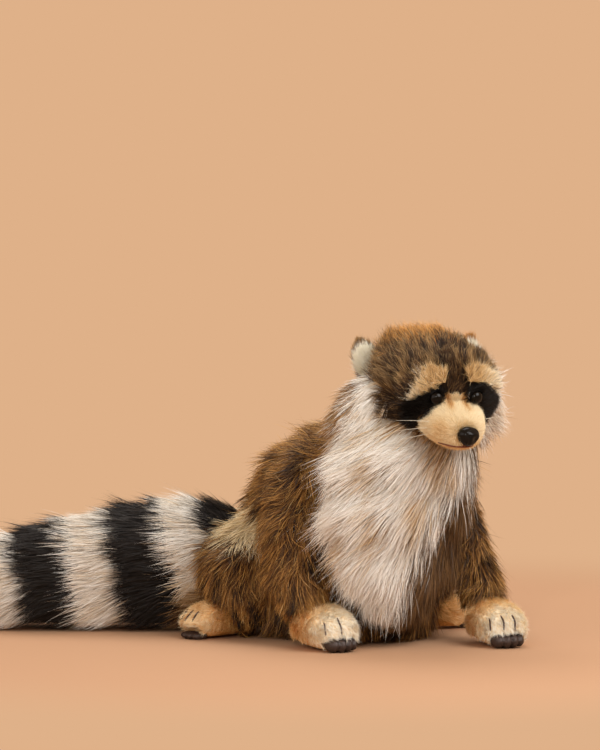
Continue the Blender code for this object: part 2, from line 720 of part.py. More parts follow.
# Chest bib: long pale hair from the chin down between the front legs.
bib = plush_form(
    "chest_bib",
    [(0.002, -0.138, 0.250, 0.010, 0.010),
     (-0.002, -0.138, 0.240, 0.30 * BIB_WIDTH, 0.36 * BIB_DEPTH),
     (-0.010, -0.132, 0.216, 0.47 * BIB_WIDTH, 0.48 * BIB_DEPTH),
     (-0.016, -0.126, 0.186, 0.52 * BIB_WIDTH, 0.52 * BIB_DEPTH),
     (-0.019, -0.122, 0.150, 0.51 * BIB_WIDTH, 0.52 * BIB_DEPTH),
     (-0.020, -0.119, 0.110, 0.46 * BIB_WIDTH, 0.48 * BIB_DEPTH),
     (-0.019, -0.117, 0.072, 0.38 * BIB_WIDTH, 0.42 * BIB_DEPTH),
     (-0.017, -0.115, 0.036, 0.25 * BIB_WIDTH, 0.32 * BIB_DEPTH),
     (-0.014, -0.114, 0.012, 0.09 * BIB_WIDTH, 0.13 * BIB_DEPTH),
     (-0.014, -0.114, 0.005, 0.001, 0.001)],
    16, 6, white_pile, level=(0, 0, -1), seed=31,
    lock=fade(BIB_LOCK, 0.08, 0.96))

# Front legs, each with its paw and leather pad.
arm_lock = fade(LIMB_LOCK, 0.16, 0.84)
arm_right = path_form(
    "front_leg_right",
    [(-52, -36, 196, 0.05), (-56, -38, 190, 0.66), (-72, -42, 172, 1.06),
     (-90, -48, 138, 1.10), (-99, -54, 98, 1.06), (-99, -62, 62, 0.96),
     (-96, -70, 34, 0.82), (-95, -74, 22, 0.05)],
    ARM_WIDTH, 12, 6, brown_pile, side=(0, 1, 0), lock=arm_lock, seed=41)
arm_left = path_form(
    "front_leg_left",
    [(50, -78, 186, 0.05), (54, -80, 180, 0.66), (66, -88, 162, 1.00),
     (78, -100, 130, 1.00), (82, -112, 94, 0.94), (79, -124, 62, 0.88),
     (74, -132, 38, 0.78), (73, -134, 26, 0.05)],
    ARM_WIDTH, 12, 6, brown_pile, side=(0, 1, 0), lock=arm_lock, seed=43)


def paw(name, pad_name, place, heading, width, length, height, grooves, pitch=0.0,
        pad_back=0.0):
    # Built along -Y from heel to toes, then turned to its heading about Z.
    frame = bpy.data.objects.new(name + "_frame", None)
    parts.objects.link(frame)
    frame.location = place
    frame.rotation_euler = (math.radians(pitch), 0.0, math.radians(heading + 90))

    def toes(point, place_along, angle):
        front = min(max((-point.y / length - 0.10) / 0.28, 0.0), 1.0)
        upper = min(max((point.z / height - 0.22) / 0.2, 0.0), 1.0)
        pull = 0.0
        for groove in grooves:
            pull += math.exp(-((point.x / width - groove) / 0.055) ** 2)
        inward = TOE_GROOVE * pull * front * upper
        point.z -= inward
        point.y += inward * 0.8
        return point

    made = plush_form(
        name,
        [(0, 0.52 * length, 0.40 * height, 0.001, 0.001),
         (0, 0.47 * length, 0.41 * height, 0.34 * width, 0.34 * height),
         (0, 0.26 * length, 0.48 * height, 0.46 * width, 0.50 * height),
         (0, -0.02 * length, 0.46 * height, 0.50 * width, 0.52 * height),
         (0, -0.26 * length, 0.42 * height, 0.49 * width, 0.48 * height),
         (0, -0.43 * length, 0.38 * height, 0.36 * width, 0.34 * height),
         (0, -0.50 * length, 0.37 * height, 0.001, 0.001)],
        12, 7, cream_pile, level=(0, -1, 0), square=2.3, shape=toes, parent=frame)
    pad = plush_form(
        pad_name,
        [(-0.34 * width, -0.36 * length + pad_back, 0.16 * height, 0.001, 0.001),
         (-0.30 * width, -0.37 * length + pad_back, 0.16 * height,
          0.11 * length, 0.60 * PAD_THICKNESS),
         (0.0, -0.40 * length + pad_back, 0.16 * height,
          0.15 * length, 0.86 * PAD_THICKNESS),
         (0.30 * width, -0.37 * length + pad_back, 0.16 * height,
          0.11 * length, 0.60 * PAD_THICKNESS),
         (0.34 * width, -0.36 * length + pad_back, 0.16 * height, 0.001, 0.001)],
        8, 4, leather, side=(0, 1, 0), level=(1, 0, 0), parent=frame)
    return made, pad


front_paw_right, front_pad_right = paw(
    "front_paw_right", "front_pad_right", (-0.090, -0.092, 0.0), -93.0,
    FRONT_PAW_WIDTH, FRONT_PAW_LENGTH, FRONT_PAW_HEIGHT, (-0.18, 0.08))
front_paw_left, front_pad_left = paw(
    "front_paw_left", "front_pad_left", (0.072, -0.158, 0.0), -104.0,
    FRONT_PAW_WIDTH, FRONT_PAW_LENGTH, FRONT_PAW_HEIGHT, (-0.25, 0.0, 0.25))
hind_paw_right, hind_pad_right = paw(
    "hind_paw_right", "hind_pad_right", (-0.118, 0.057, 0.0), 178.0,
    HIND_PAW_WIDTH, HIND_PAW_LENGTH, HIND_PAW_HEIGHT, (-0.22, 0.0, 0.22))
hind_paw_left, hind_pad_left = paw(
    "hind_paw_left", "hind_pad_left", (0.112, -0.006, 0.0), -12.0,
    HIND_PAW_WIDTH, HIND_PAW_LENGTH, HIND_PAW_HEIGHT, (-0.22, 0.0, 0.22))

# Hind legs: rounded thighs against the seat.
thigh_lock = fade(LIMB_LOCK, 0.12, 0.80)
thigh_right = path_form(
    "hind_leg_right",
    [(-72, 52, 126, 0.02), (-73, 52, 120, 0.50), (-80, 50, 98, 0.94),
     (-86, 48, 66, 1.04), (-90, 46, 34, 0.92), (-92, 46, 10, 0.66), (-92, 46, -6, 0.02)],
    THIGH_WIDTH, 12, 5, brown_pile, lock=thigh_lock, seed=51, level=(0, 0, -1))
thigh_left = path_form(
    "hind_leg_left",
    [(72, 12, 122, 0.02), (73, 12, 116, 0.50), (80, 10, 94, 0.90),
     (85, 8, 64, 1.00), (88, 6, 34, 0.90), (90, 4, 10, 0.64), (90, 4, -6, 0.02)],
    THIGH_WIDTH, 12, 5, brown_pile, lock=thigh_lock, seed=53, level=(0, 0, -1))

# Tail: rings of cream and black fur sewn end to end, tapering to a black tip.
tail_frame = bpy.data.objects.new("tail_frame", None)
parts.objects.link(tail_frame)
tail_frame.location = (-0.038, 0.096, 0.0)
tail_frame.rotation_euler = (0.0, 0.0, math.radians(TAIL_HEADING))

TAIL_BANDS = [
    ("tail_band_cream_1", 0.000, 0.070, cream_pile),
    ("tail_band_black_1", 0.070, 0.172, black_pile),
    ("tail_band_cream_2", 0.172, 0.262, cream_pile),
    ("tail_band_black_2", 0.262, 0.400, black_pile),
    ("tail_band_cream_3", 0.400, 0.530, cream_pile),
    ("tail_band_black_3", 0.530, 0.665, black_pile),
    ("tail_band_cream_4", 0.665, 0.790, cream_pile),
    ("tail_tip_black", 0.790, 1.000, black_pile),
]
TAIL_GIRTH = [(0.00, 0.88), (0.10, 1.02), (0.22, 1.04), (0.36, 0.99), (0.50, 0.90),
              (0.64, 0.81), (0.78, 0.70), (0.90, 0.50), (0.97, 0.26), (1.00, 0.02)]


def tail_half(place):
    places = [p for p, g in TAIL_GIRTH]
    girths = [g for p, g in TAIL_GIRTH]
    return float(np.interp(place, places, girths)) * TAIL_DIAMETER / 2


def tail_band(name, start, end, look, seed):
    first = start * TAIL_LENGTH + (SEAM_GAP / 2 if start > 0 else 0.0)
    last = end * TAIL_LENGTH - (SEAM_GAP / 2 if end < 1 else 0.0)
    around, rows = 15, 3 if end - start > 0.132 else 2
    rng = np.random.default_rng(seed)
    rings = []
    for row in range(rows):
        rings.append((row / rows, TAIL_LOCK, False))
        rings.append(((row + 0.90) / rows, 0.0, True))
    if end < 1.0:
        rings.append((1.0, TAIL_LOCK, False))
    bm = bmesh.new()
    made = bmesh.ops.create_uvsphere(bm, u_segments=around, v_segments=len(rings) + 1,
                                     radius=1.0)
    for vert in made["verts"]:
        polar = math.acos(max(-1.0, min(1.0, vert.co.z)))
        ring = int(round(polar / math.pi * (len(rings) + 1)))
        if ring in (0, len(rings) + 1):
            along = first if ring == 0 else last
            vert.co = (along, 0.0, 0.48 * TAIL_DIAMETER * (0.98 if along < last else 0.9))
            vert.co.z = tail_half(along / TAIL_LENGTH) * 0.96 if end < 1 or ring == 0 else 0.02
            continue
        share, sink, tip = rings[ring - 1]
        turn = math.atan2(vert.co.y, vert.co.x) / (2 * math.pi)
        column = int(round(turn * around)) % around
        angle = 2 * math.pi * column / around
        along = first + (last - first) * share
        half = tail_half(along / TAIL_LENGTH)
        centre = 0.96 * tail_half(min(along / TAIL_LENGTH, 0.93))
        drop = min(sink, 0.4 * half)
        if tip:
            long_lock = (column + ring // 2) % 2 == 0
            wobble = rng.uniform(0.0, 1.0)
            drop = 0.0 if long_lock else TAIL_LOCK * (0.40 + 0.2 * wobble)
            drop = min(drop, 0.4 * half)
            if not long_lock:
                along -= 0.26 * (last - first) / rows
        radius = half - drop
        vert.co = (along, radius * math.cos(angle), centre + radius * math.sin(angle))
    face_outward(bm)
    bmesh.ops.triangulate(bm, faces=bm.faces)
    mesh = bpy.data.meshes.new(name)
    bm.to_mesh(mesh)
    bm.free()
    obj = bpy.data.objects.new(name, mesh)
    return finish(obj, look, tail_frame, angle=35.0)


tail = [tail_band(name, start, end, look, 60 + k)
        for k, (name, start, end, look) in enumerate(TAIL_BANDS)]

bpy.context.view_layer.update()

# Seams. The piece named first gives way to those after it.
seam(torso, torso_filling, seat_panel, head)
seam(torso_filling, head)
seam(head, eye_right, eye_left, eye_washer_right, eye_washer_left)
seam(muzzle, head, nose, nose_washer)
for whisker_piece in whiskers_right + whiskers_left:
    seam(whisker_piece, muzzle)
for mask_patch, eye_piece in ((mask_right, eye_right), (mask_left, eye_left)):
    seam(mask_patch, head, muzzle, eye_piece)
for brow_patch, mask_patch in ((brow_right, mask_right), (brow_left, mask_left)):
    seam(brow_patch, head, muzzle, mask_patch)
for outer, lining in ((ear_right, lining_right), (ear_left, lining_left)):
    seam(outer, lining, head)
    seam(lining, head)
seam(cheek_right, head, torso, ear_right, mask_right)
seam(cheek_left, head, torso, ear_left, lining_left)
seam(bib, head, torso, muzzle, mask_right, cheek_right, cheek_left, arm_right, arm_left)
seam(arm_right, torso, front_paw_right)
seam(arm_left, torso, front_paw_left)
for paw_piece, pad_piece in ((front_paw_right, front_pad_right),
                             (front_paw_left, front_pad_left),
                             (hind_paw_right, hind_pad_right),
                             (hind_paw_left, hind_pad_left)):
    seam(paw_piece, pad_piece, gap=2 * SEAM_GAP)
seam(front_paw_right, torso)
seam(hind_paw_right, torso)
seam(hind_paw_left, torso)
seam(thigh_right, torso, hind_paw_right)
seam(thigh_left, torso, hind_paw_left)
for band in tail[:2]:
    seam(band, thigh_right, gap=SHAGGY_GAP)
seam(tail[0], torso)
rest_on_floor(torso, thigh_right, thigh_left, front_paw_right, front_paw_left,
              hind_paw_right, hind_paw_left, front_pad_right, front_pad_left,
              hind_pad_right, hind_pad_left, *tail)
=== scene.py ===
import math
import bmesh
import bpy
import numpy as np
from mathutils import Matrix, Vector, kdtree
from mathutils.bvhtree import BVHTree


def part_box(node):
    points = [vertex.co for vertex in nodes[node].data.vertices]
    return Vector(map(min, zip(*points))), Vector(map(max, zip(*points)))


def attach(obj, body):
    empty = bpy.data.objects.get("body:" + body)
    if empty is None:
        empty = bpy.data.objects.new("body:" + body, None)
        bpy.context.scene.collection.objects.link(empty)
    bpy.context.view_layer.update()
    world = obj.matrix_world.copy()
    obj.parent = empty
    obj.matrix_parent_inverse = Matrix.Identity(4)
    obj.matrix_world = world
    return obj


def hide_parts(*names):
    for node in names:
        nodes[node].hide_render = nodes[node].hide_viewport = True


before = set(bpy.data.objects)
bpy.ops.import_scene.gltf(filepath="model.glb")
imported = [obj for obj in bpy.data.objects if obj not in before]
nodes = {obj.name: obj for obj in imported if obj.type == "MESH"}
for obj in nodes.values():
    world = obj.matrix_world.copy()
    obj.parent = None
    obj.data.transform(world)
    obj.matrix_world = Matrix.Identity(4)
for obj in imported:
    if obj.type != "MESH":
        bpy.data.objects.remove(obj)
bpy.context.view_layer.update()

print("frame in,", len(nodes), "nodes")

# directions on the toy: it faces -Y, its right side is -X, the photo is taken from its right front
up = np.array((0.0, 0.0, 1.0))
rear = np.array((0.0, 1.0, 0.0))
photoLeft = np.array((-0.819, 0.574, 0.0))
photoUp = np.array((0.055, 0.0785, 0.995))
tailWay = np.array((math.cos(math.radians(144.7)), math.sin(math.radians(144.7)), 0.0))
shadeColumns = 32      # pile shades side by side in the map, every strand takes one
sameSpot = 0.00002     # corners of two panels this close are one corner
onFloor = 0.0006       # the backing stays this far above the floor
pressed = 0.014        # below this height the underside is pressed flat and grows no pile
rayStart = 0.0012      # a ray that looks out of a skin starts this far off it
rayLong = 0.25


# small helpers

def toLinear(hexColour):
    channels = [int(hexColour[k:k + 2], 16) / 255 for k in (1, 3, 5)]
    return [c / 12.92 if c <= 0.04045 else ((c + 0.055) / 1.055) ** 2.4 for c in channels] + [1.0]


def add(tree, kind, settings=None, links=None):
    # one node with its settings and the sockets that feed it
    node = tree.nodes.new(kind)
    for name, value in (settings or {}).items():
        if name == "stops":
            ramp = node.color_ramp
            for place, colour in value[1:-1]:
                ramp.elements.new(place)
            ramp.elements[0].position = value[0][0]
            ramp.elements[-1].position = value[-1][0]
            for element, (place, colour) in zip(ramp.elements, value):
                element.color = toLinear(colour)
        elif isinstance(name, int) or name in node.inputs:
            node.inputs[name].default_value = value
        else:
            setattr(node, name, value)
    for name, source in (links or {}).items():
        tree.links.new(source, node.inputs[name])
    return node


def newPiece(name, data):
    made = bpy.data.objects.new(name, data)
    bpy.context.scene.collection.objects.link(made)
    return made


def newMaterial(name):
    made = bpy.data.materials.new(name)
    made.use_nodes = True
    return made, made.node_tree, made.node_tree.nodes["Principled BSDF"]


def unit(rows):
    return rows / np.maximum(np.linalg.norm(rows, axis=-1, keepdims=True), 1e-9)


def apart(points, spot):
    return np.linalg.norm(points - spot, axis=1)


def ease(value, low, high):
    part = np.clip((value - low) / (high - low), 0.0, 1.0)
    return part * part * (3 - 2 * part)


def swirl(points, size, seed):
    # smooth random vectors over the toy, size is the width of one swirl
    draw = np.random.default_rng(seed)
    total = np.zeros_like(points)
    for turn in range(6):
        way = unit(draw.normal(size=(3, 3))) * draw.uniform(4.0, 9.0) / size
        total += np.sin(points @ way.T + draw.uniform(0, 6.28, 3))
    return total / 1.7


def nodeCentre(name):
    low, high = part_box(name)
    return (np.array(low) + np.array(high)) / 2


def joined(names):
    # the solids of these nodes as one shape
    shape = bmesh.new()
    for name in names:
        shape.from_mesh(nodes[name].data)
    return shape


def toMesh(name, shape):
    mesh = bpy.data.meshes.new(name)
    shape.to_mesh(mesh)
    shape.free()
    return mesh


def meshTree(*names):
    shape = joined(names)
    tree = BVHTree.FromBMesh(shape)
    shape.free()
    return tree


def place(obj, slotName, replaced=(), stuffed=None):
    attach(obj, "root")
    if replaced:
        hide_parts(*replaced)


# acrylic pile materials

def pileMaterial(name, pile):
    # Acrylic fake fur, knitted back, sheared and brushed. Each hair is darker at the root,
    # where its neighbours shade it, and changes to its tip colour. The map's X is the shade
    # of the strand, Y runs from root to tip. A high roughness gives the eye soft, long lights.
    # Real fibres are about 0.05 mm thick, a strand here stands for a bunch of 0.4 to 0.9 mm,
    # as coarse as it needs to show.
    made, tree, shader = newMaterial(name)
    strand = add(tree, "ShaderNodeUVMap", {"uv_map": "OFBake"})
    split = add(tree, "ShaderNodeSeparateXYZ", {}, {"Vector": strand.outputs["UV"]})
    shaft = add(tree, "ShaderNodeValToRGB", {"stops": pile["shaft"]}, {"Fac": split.outputs["X"]})
    tip = add(tree, "ShaderNodeValToRGB", {"stops": pile["tip"]}, {"Fac": split.outputs["X"]})
    toTip = add(tree, "ShaderNodeMapRange", {"From Min": pile["tipFrom"], "From Max": 0.97},
                {"Value": split.outputs["Y"]})
    hair = add(tree, "ShaderNodeMix", {"data_type": "RGBA"},
               {0: toTip.outputs[0], 6: shaft.outputs[0], 7: tip.outputs[0]})
    shade = add(tree, "ShaderNodeMapRange",
                {"From Max": 0.55, "To Min": pile["root"], "To Max": 1.0},
                {"Value": split.outputs["Y"]})
    shaded = add(tree, "ShaderNodeVectorMath", {"operation": "SCALE"},
                 {"Vector": hair.outputs[2], "Scale": shade.outputs[0]})
    tree.links.new(shaded.outputs[0], shader.inputs["Base Color"])
    shader.inputs["Roughness"].default_value = pile["roughness"]
    shader.inputs["IOR"].default_value = 1.49
    shader.inputs["Specular IOR Level"].default_value = 0.3
    return made


brownPile = pileMaterial("acrylic_pile_brown", {
    # dark undercoat with golden-brown guard hairs, orange where the light comes through,
    # and from 0.86 up the cream of the rump
    "shaft": [(0.0, "#140D07"), (0.3, "#33200F"), (0.6, "#6C431A"), (0.8, "#A56D28"),
              (0.86, "#C2A069"), (1.0, "#E3C99A")],
    "tip": [(0.0, "#1E150D"), (0.3, "#66451F"), (0.6, "#B07B39"), (0.8, "#DDAE64"),
            (0.86, "#EBD3A0"), (1.0, "#FAEBCB")],
    "tipFrom": 0.3, "root": 0.5, "roughness": 0.55})
headPile = pileMaterial("acrylic_pile_head", {
    # near-black brown with grey-gold ends, orange-gold on the crown as painted light shining
    # through the hair
    "shaft": [(0.0, "#18110A"), (0.35, "#382617"), (0.65, "#704E28"), (0.8, "#925A22"),
              (1.0, "#B8742C")],
    "tip": [(0.0, "#20170F"), (0.35, "#6C4B28"), (0.65, "#D0AE78"), (0.8, "#D1913F"),
            (1.0, "#EDB05C")],
    "tipFrom": 0.25, "root": 0.7, "roughness": 0.55})
blackPile = pileMaterial("acrylic_pile_black", {
    # dyed nearly black, with a trace of brown where a tip catches the light
    "shaft": [(0.0, "#070606"), (1.0, "#171310")],
    "tip": [(0.0, "#0B0909"), (0.8, "#1C1714"), (1.0, "#352B23")],
    "tipFrom": 0.4, "root": 0.7, "roughness": 0.5})
creamPile = pileMaterial("acrylic_pile_cream", {
    # cream with honey shading, paler upwards in the map
    "shaft": [(0.0, "#241911"), (0.08, "#3A2818"), (0.14, "#8A6132"), (0.4, "#C29556"),
              (0.7, "#E0C491"), (1.0, "#EEE3CB")],
    "tip": [(0.0, "#2B1F16"), (0.08, "#5A4027"), (0.14, "#AB7D43"), (0.4, "#DDB679"),
            (0.7, "#F0DCB4"), (1.0, "#F8F2E3")],
    "tipFrom": 0.0, "root": 0.95, "roughness": 0.6})
liningPile = pileMaterial("acrylic_pile_lining", {
    # thin brushed plush of the inner ear, cream-white, made paler still as painted light shining
    # through the ear
    "shaft": [(0.0, "#E6DAB8"), (1.0, "#FBF6E4")],
    "tip": [(0.0, "#F4EBD0"), (1.0, "#FFFDF4")],
    "tipFrom": 0.0, "root": 0.95, "roughness": 0.6})
pawPile = pileMaterial("acrylic_pile_paw", {
    # sheared plush, cream-white over the toes and honey at the heel, the honey partly the plush's
    # colour and partly painted shade
    "shaft": [(0.0, "#9A6628"), (0.3, "#E0A658"), (0.6, "#FAD498"), (1.0, "#FFF4DC")],
    "tip": [(0.0, "#C48C4A"), (0.3, "#F8CA84"), (0.6, "#FFEBC0"), (1.0, "#FFFEF8")],
    "tipFrom": 0.0, "root": 1.0, "roughness": 0.65})
whitePile = pileMaterial("acrylic_pile_white", {
    # long white hair, tan and brown airbrushed streaks at the low end of the map, which also gives
    # the painted shade low on the bib and under the tail
    "shaft": [(0.0, "#2B2018"), (0.2, "#80592F"), (0.45, "#C49D6B"), (0.7, "#DACCB8"),
              (1.0, "#E6DFD5")],
    "tip": [(0.0, "#3A2B1F"), (0.2, "#A87B48"), (0.45, "#E2C79C"), (0.7, "#F0E6D8"),
            (1.0, "#FAF7F1")],
    "tipFrom": 0.15, "root": 0.66, "roughness": 0.5})
muzzlePile = pileMaterial("acrylic_pile_muzzle", {
    # sheared short, honey airbrushing beside the bridge
    "shaft": [(0.0, "#0C0908"), (0.08, "#0F0B09"), (0.16, "#7A4A22"), (0.4, "#C98F4E"),
              (0.7, "#E4BF86"), (1.0, "#F0DCB2")],
    "tip": [(0.0, "#110D0B"), (0.08, "#1A1310"), (0.16, "#96602F"), (0.4, "#DCA765"),
            (0.7, "#F0D5A2"), (1.0, "#FAEFD2")],
    "tipFrom": 0.0, "root": 0.84, "roughness": 0.65})


# skins: where the pile is rooted

skins = {}
coats = {}
coatDefaults = {
    # share of stray hairs outside the locks, how far a lock reaches, how much lengths and
    # ways vary, how much a strand settles towards its tip, clear space that a root needs
    "loose": 0.12, "lockWide": 0.008, "vary": 0.25, "wander": 0.3, "swirl": 0.03, "stray": 0.25,
    "twist": 0.5, "settleDown": 0.6, "reach": 0.003}


def takeSkin(look):
    # the cut panels joined, evened out and drawn in to the knitted back
    shape = joined(look["nodes"])
    bmesh.ops.remove_doubles(shape, verts=shape.verts, dist=sameSpot)
    temp = newPiece("backing", toMesh("backing", shape))
    if look.get("weld"):
        weld = temp.modifiers.new("weld", "REMESH")
        weld.mode = "VOXEL"
        weld.voxel_size = look["weld"]
    if look.get("round"):
        rounding = temp.modifiers.new("round", "SUBSURF")
        rounding.levels = rounding.render_levels = look["round"]
    even = temp.modifiers.new("even", "SMOOTH")
    even.factor, even.iterations = 0.5, look["even"]
    drawIn = temp.modifiers.new("drawIn", "DISPLACE")
    drawIn.mid_level, drawIn.strength = 0.0, -look["inset"]
    settle = temp.modifiers.new("settle", "SMOOTH")
    settle.factor, settle.iterations = 0.5, look["settle"]
    done = bpy.data.meshes.new_from_object(
        temp.evaluated_get(bpy.context.evaluated_depsgraph_get()))
    bpy.data.objects.remove(temp)
    done.calc_loop_triangles()
    points = np.empty(len(done.vertices) * 3)
    done.vertices.foreach_get("co", points)
    normals = np.empty(len(done.vertices) * 3)
    done.vertices.foreach_get("normal", normals)
    faces = np.empty(len(done.loop_triangles) * 3, dtype=np.int32)
    done.loop_triangles.foreach_get("vertices", faces)
    points = points.reshape(-1, 3)
    points[:, 2] = np.maximum(points[:, 2], onFloor)
    return points, faces.reshape(-1, 3), unit(normals.reshape(-1, 3))


shoulderLook = {
    # heights, and how far the far foreleg's backing reaches across the view at each
    "side": ((0.04, 0.06, 0.08, 0.11, 0.14, 0.16, 0.18, 0.20, 0.22),
             (0.156, 0.151, 0.140, 0.129, 0.120, 0.119, 0.126, 0.150, 0.22)),
    "soft": 0.004, "share": 0.85}


def slimShoulder(points):
    # the far foreleg slants out from under the chin down to its paw
    spot = points @ -photoLeft
    side = np.interp(points[:, 2], *shoulderLook["side"])
    soft = shoulderLook["soft"]
    drawn = side - soft * np.logaddexp(0.0, (side - spot) / soft)
    over = np.maximum(spot - drawn - 0.1 * soft, 0.0)
    return points + photoLeft * (shoulderLook["share"] * over)[:, None]


def jointSkins(names, weld):
    # torso, legs, bib, cheeks, head and tail run into each other under the fur, so their
    # backing is one soft form, shared out to the coats by the panel that lies nearest
    groups = [coats[name] for name in names]
    points, faces, normals = takeSkin({
        "nodes": [node for look in groups for node in look["nodes"]],
        "weld": weld, "even": 8, "inset": 0.0, "settle": 0})
    far = np.empty((len(names), len(points)))
    trees = [meshTree(*look["nodes"]) for look in groups]
    for row, tree in enumerate(trees):
        far[row] = [tree.find_nearest(Vector(point))[3] for point in points]
    owner = far.argmin(0)
    # hair of the tail rings lies over the next ring, so each takes its colour further out
    ringed = [row for row, look in enumerate(groups) if "overlap" in look]
    onTail = np.isin(owner, ringed)
    ahead = points[onTail] + tailWay * groups[ringed[0]]["overlap"](points[onTail])[:, None]
    far = [[trees[row].find_nearest(Vector(point))[3] for point in ahead] for row in ringed]
    owner[onTail] = np.array(ringed)[np.argmin(far, axis=0)]
    pairs = np.sort(np.concatenate([faces[:, :2], faces[:, 1:], faces[:, ::2]]), axis=1)
    pairs = np.unique(pairs, axis=0)

    def relax(values, times):
        count = np.bincount(pairs.ravel(), minlength=len(points)).reshape(-1, 1)
        for turn in range(times):
            total = np.zeros_like(values)
            np.add.at(total, pairs[:, 0], values[pairs[:, 1]])
            np.add.at(total, pairs[:, 1], values[pairs[:, 0]])
            values = 0.5 * values + 0.5 * total / np.maximum(count, 1)
        return values

    inset = relax(np.array([look["inset"] for look in groups])[owner][:, None], 12)
    moved = -inset
    for row, look in enumerate(groups):
        if "fill" in look:
            mine = owner == row
            moved[mine] += look["fill"](points[mine])[:, None]
    points = relax(slimShoulder(points + normals * moved), 4)
    points[:, 2] = np.maximum(points[:, 2], onFloor)
    corner = points[faces]
    slope = np.cross(corner[:, 1] - corner[:, 0], corner[:, 2] - corner[:, 0])
    normals = np.zeros_like(points)
    for k in range(3):
        np.add.at(normals, faces[:, k], slope)
    normals = unit(normals)
    for row, name in enumerate(names):
        mine = faces[owner[faces[:, 0]] == row]
        used, renumbered = np.unique(mine, return_inverse=True)
        skins[name] = (points[used], renumbered.reshape(-1, 3), normals[used])


def recolour(tone, chosen, low, high, draw):
    # the chosen strands take a shade between low and high
    tone[chosen] = draw.uniform(low, high, int(chosen.sum()))


def sprinkle(tone, chance, low, high, draw):
    # strands are chosen by chance
    recolour(tone, draw.random(len(tone)) < chance, low, high, draw)


def mixed(share, roots, draw):
    # every strand a little off its neighbours
    return share * draw.normal(size=len(roots))


def scatter(skin, perMm2, draw):
    points, faces, normals = skin
    corner = points[faces]
    area = np.linalg.norm(np.cross(corner[:, 1] - corner[:, 0],
                                   corner[:, 2] - corner[:, 0]), axis=1) / 2
    count = int(area.sum() * 1e6 * perMm2)
    pick = draw.choice(len(faces), count, p=area / area.sum())
    share = draw.random((count, 2))
    over = share.sum(1) > 1
    share[over] = 1 - share[over]
    weight = np.column_stack([1 - share.sum(1), share])[:, :, None]
    return (corner[pick] * weight).sum(1), unit((normals[faces[pick]] * weight).sum(1))


def inOpenAir(roots, normals, reach):
    # drops roots that stand inside another skin or are pressed against one
    keep = np.ones(len(roots), dtype=bool)
    for k in range(len(roots)):
        way = Vector(normals[k])
        start = Vector(roots[k]) + way * rayStart
        spot, facing, _, far = allSkins.ray_cast(start, way, rayLong)
        if spot is not None and (facing.dot(way) > 0 or far < reach):
            keep[k] = False
    return keep


def shadesOf(look, spots, draw):
    # the column of the map that each strand takes its shade from
    tone = np.clip(look["tone"](spots, draw), 0, 0.999)
    return (np.floor(tone * shadeColumns) + 0.5) / shadeColumns


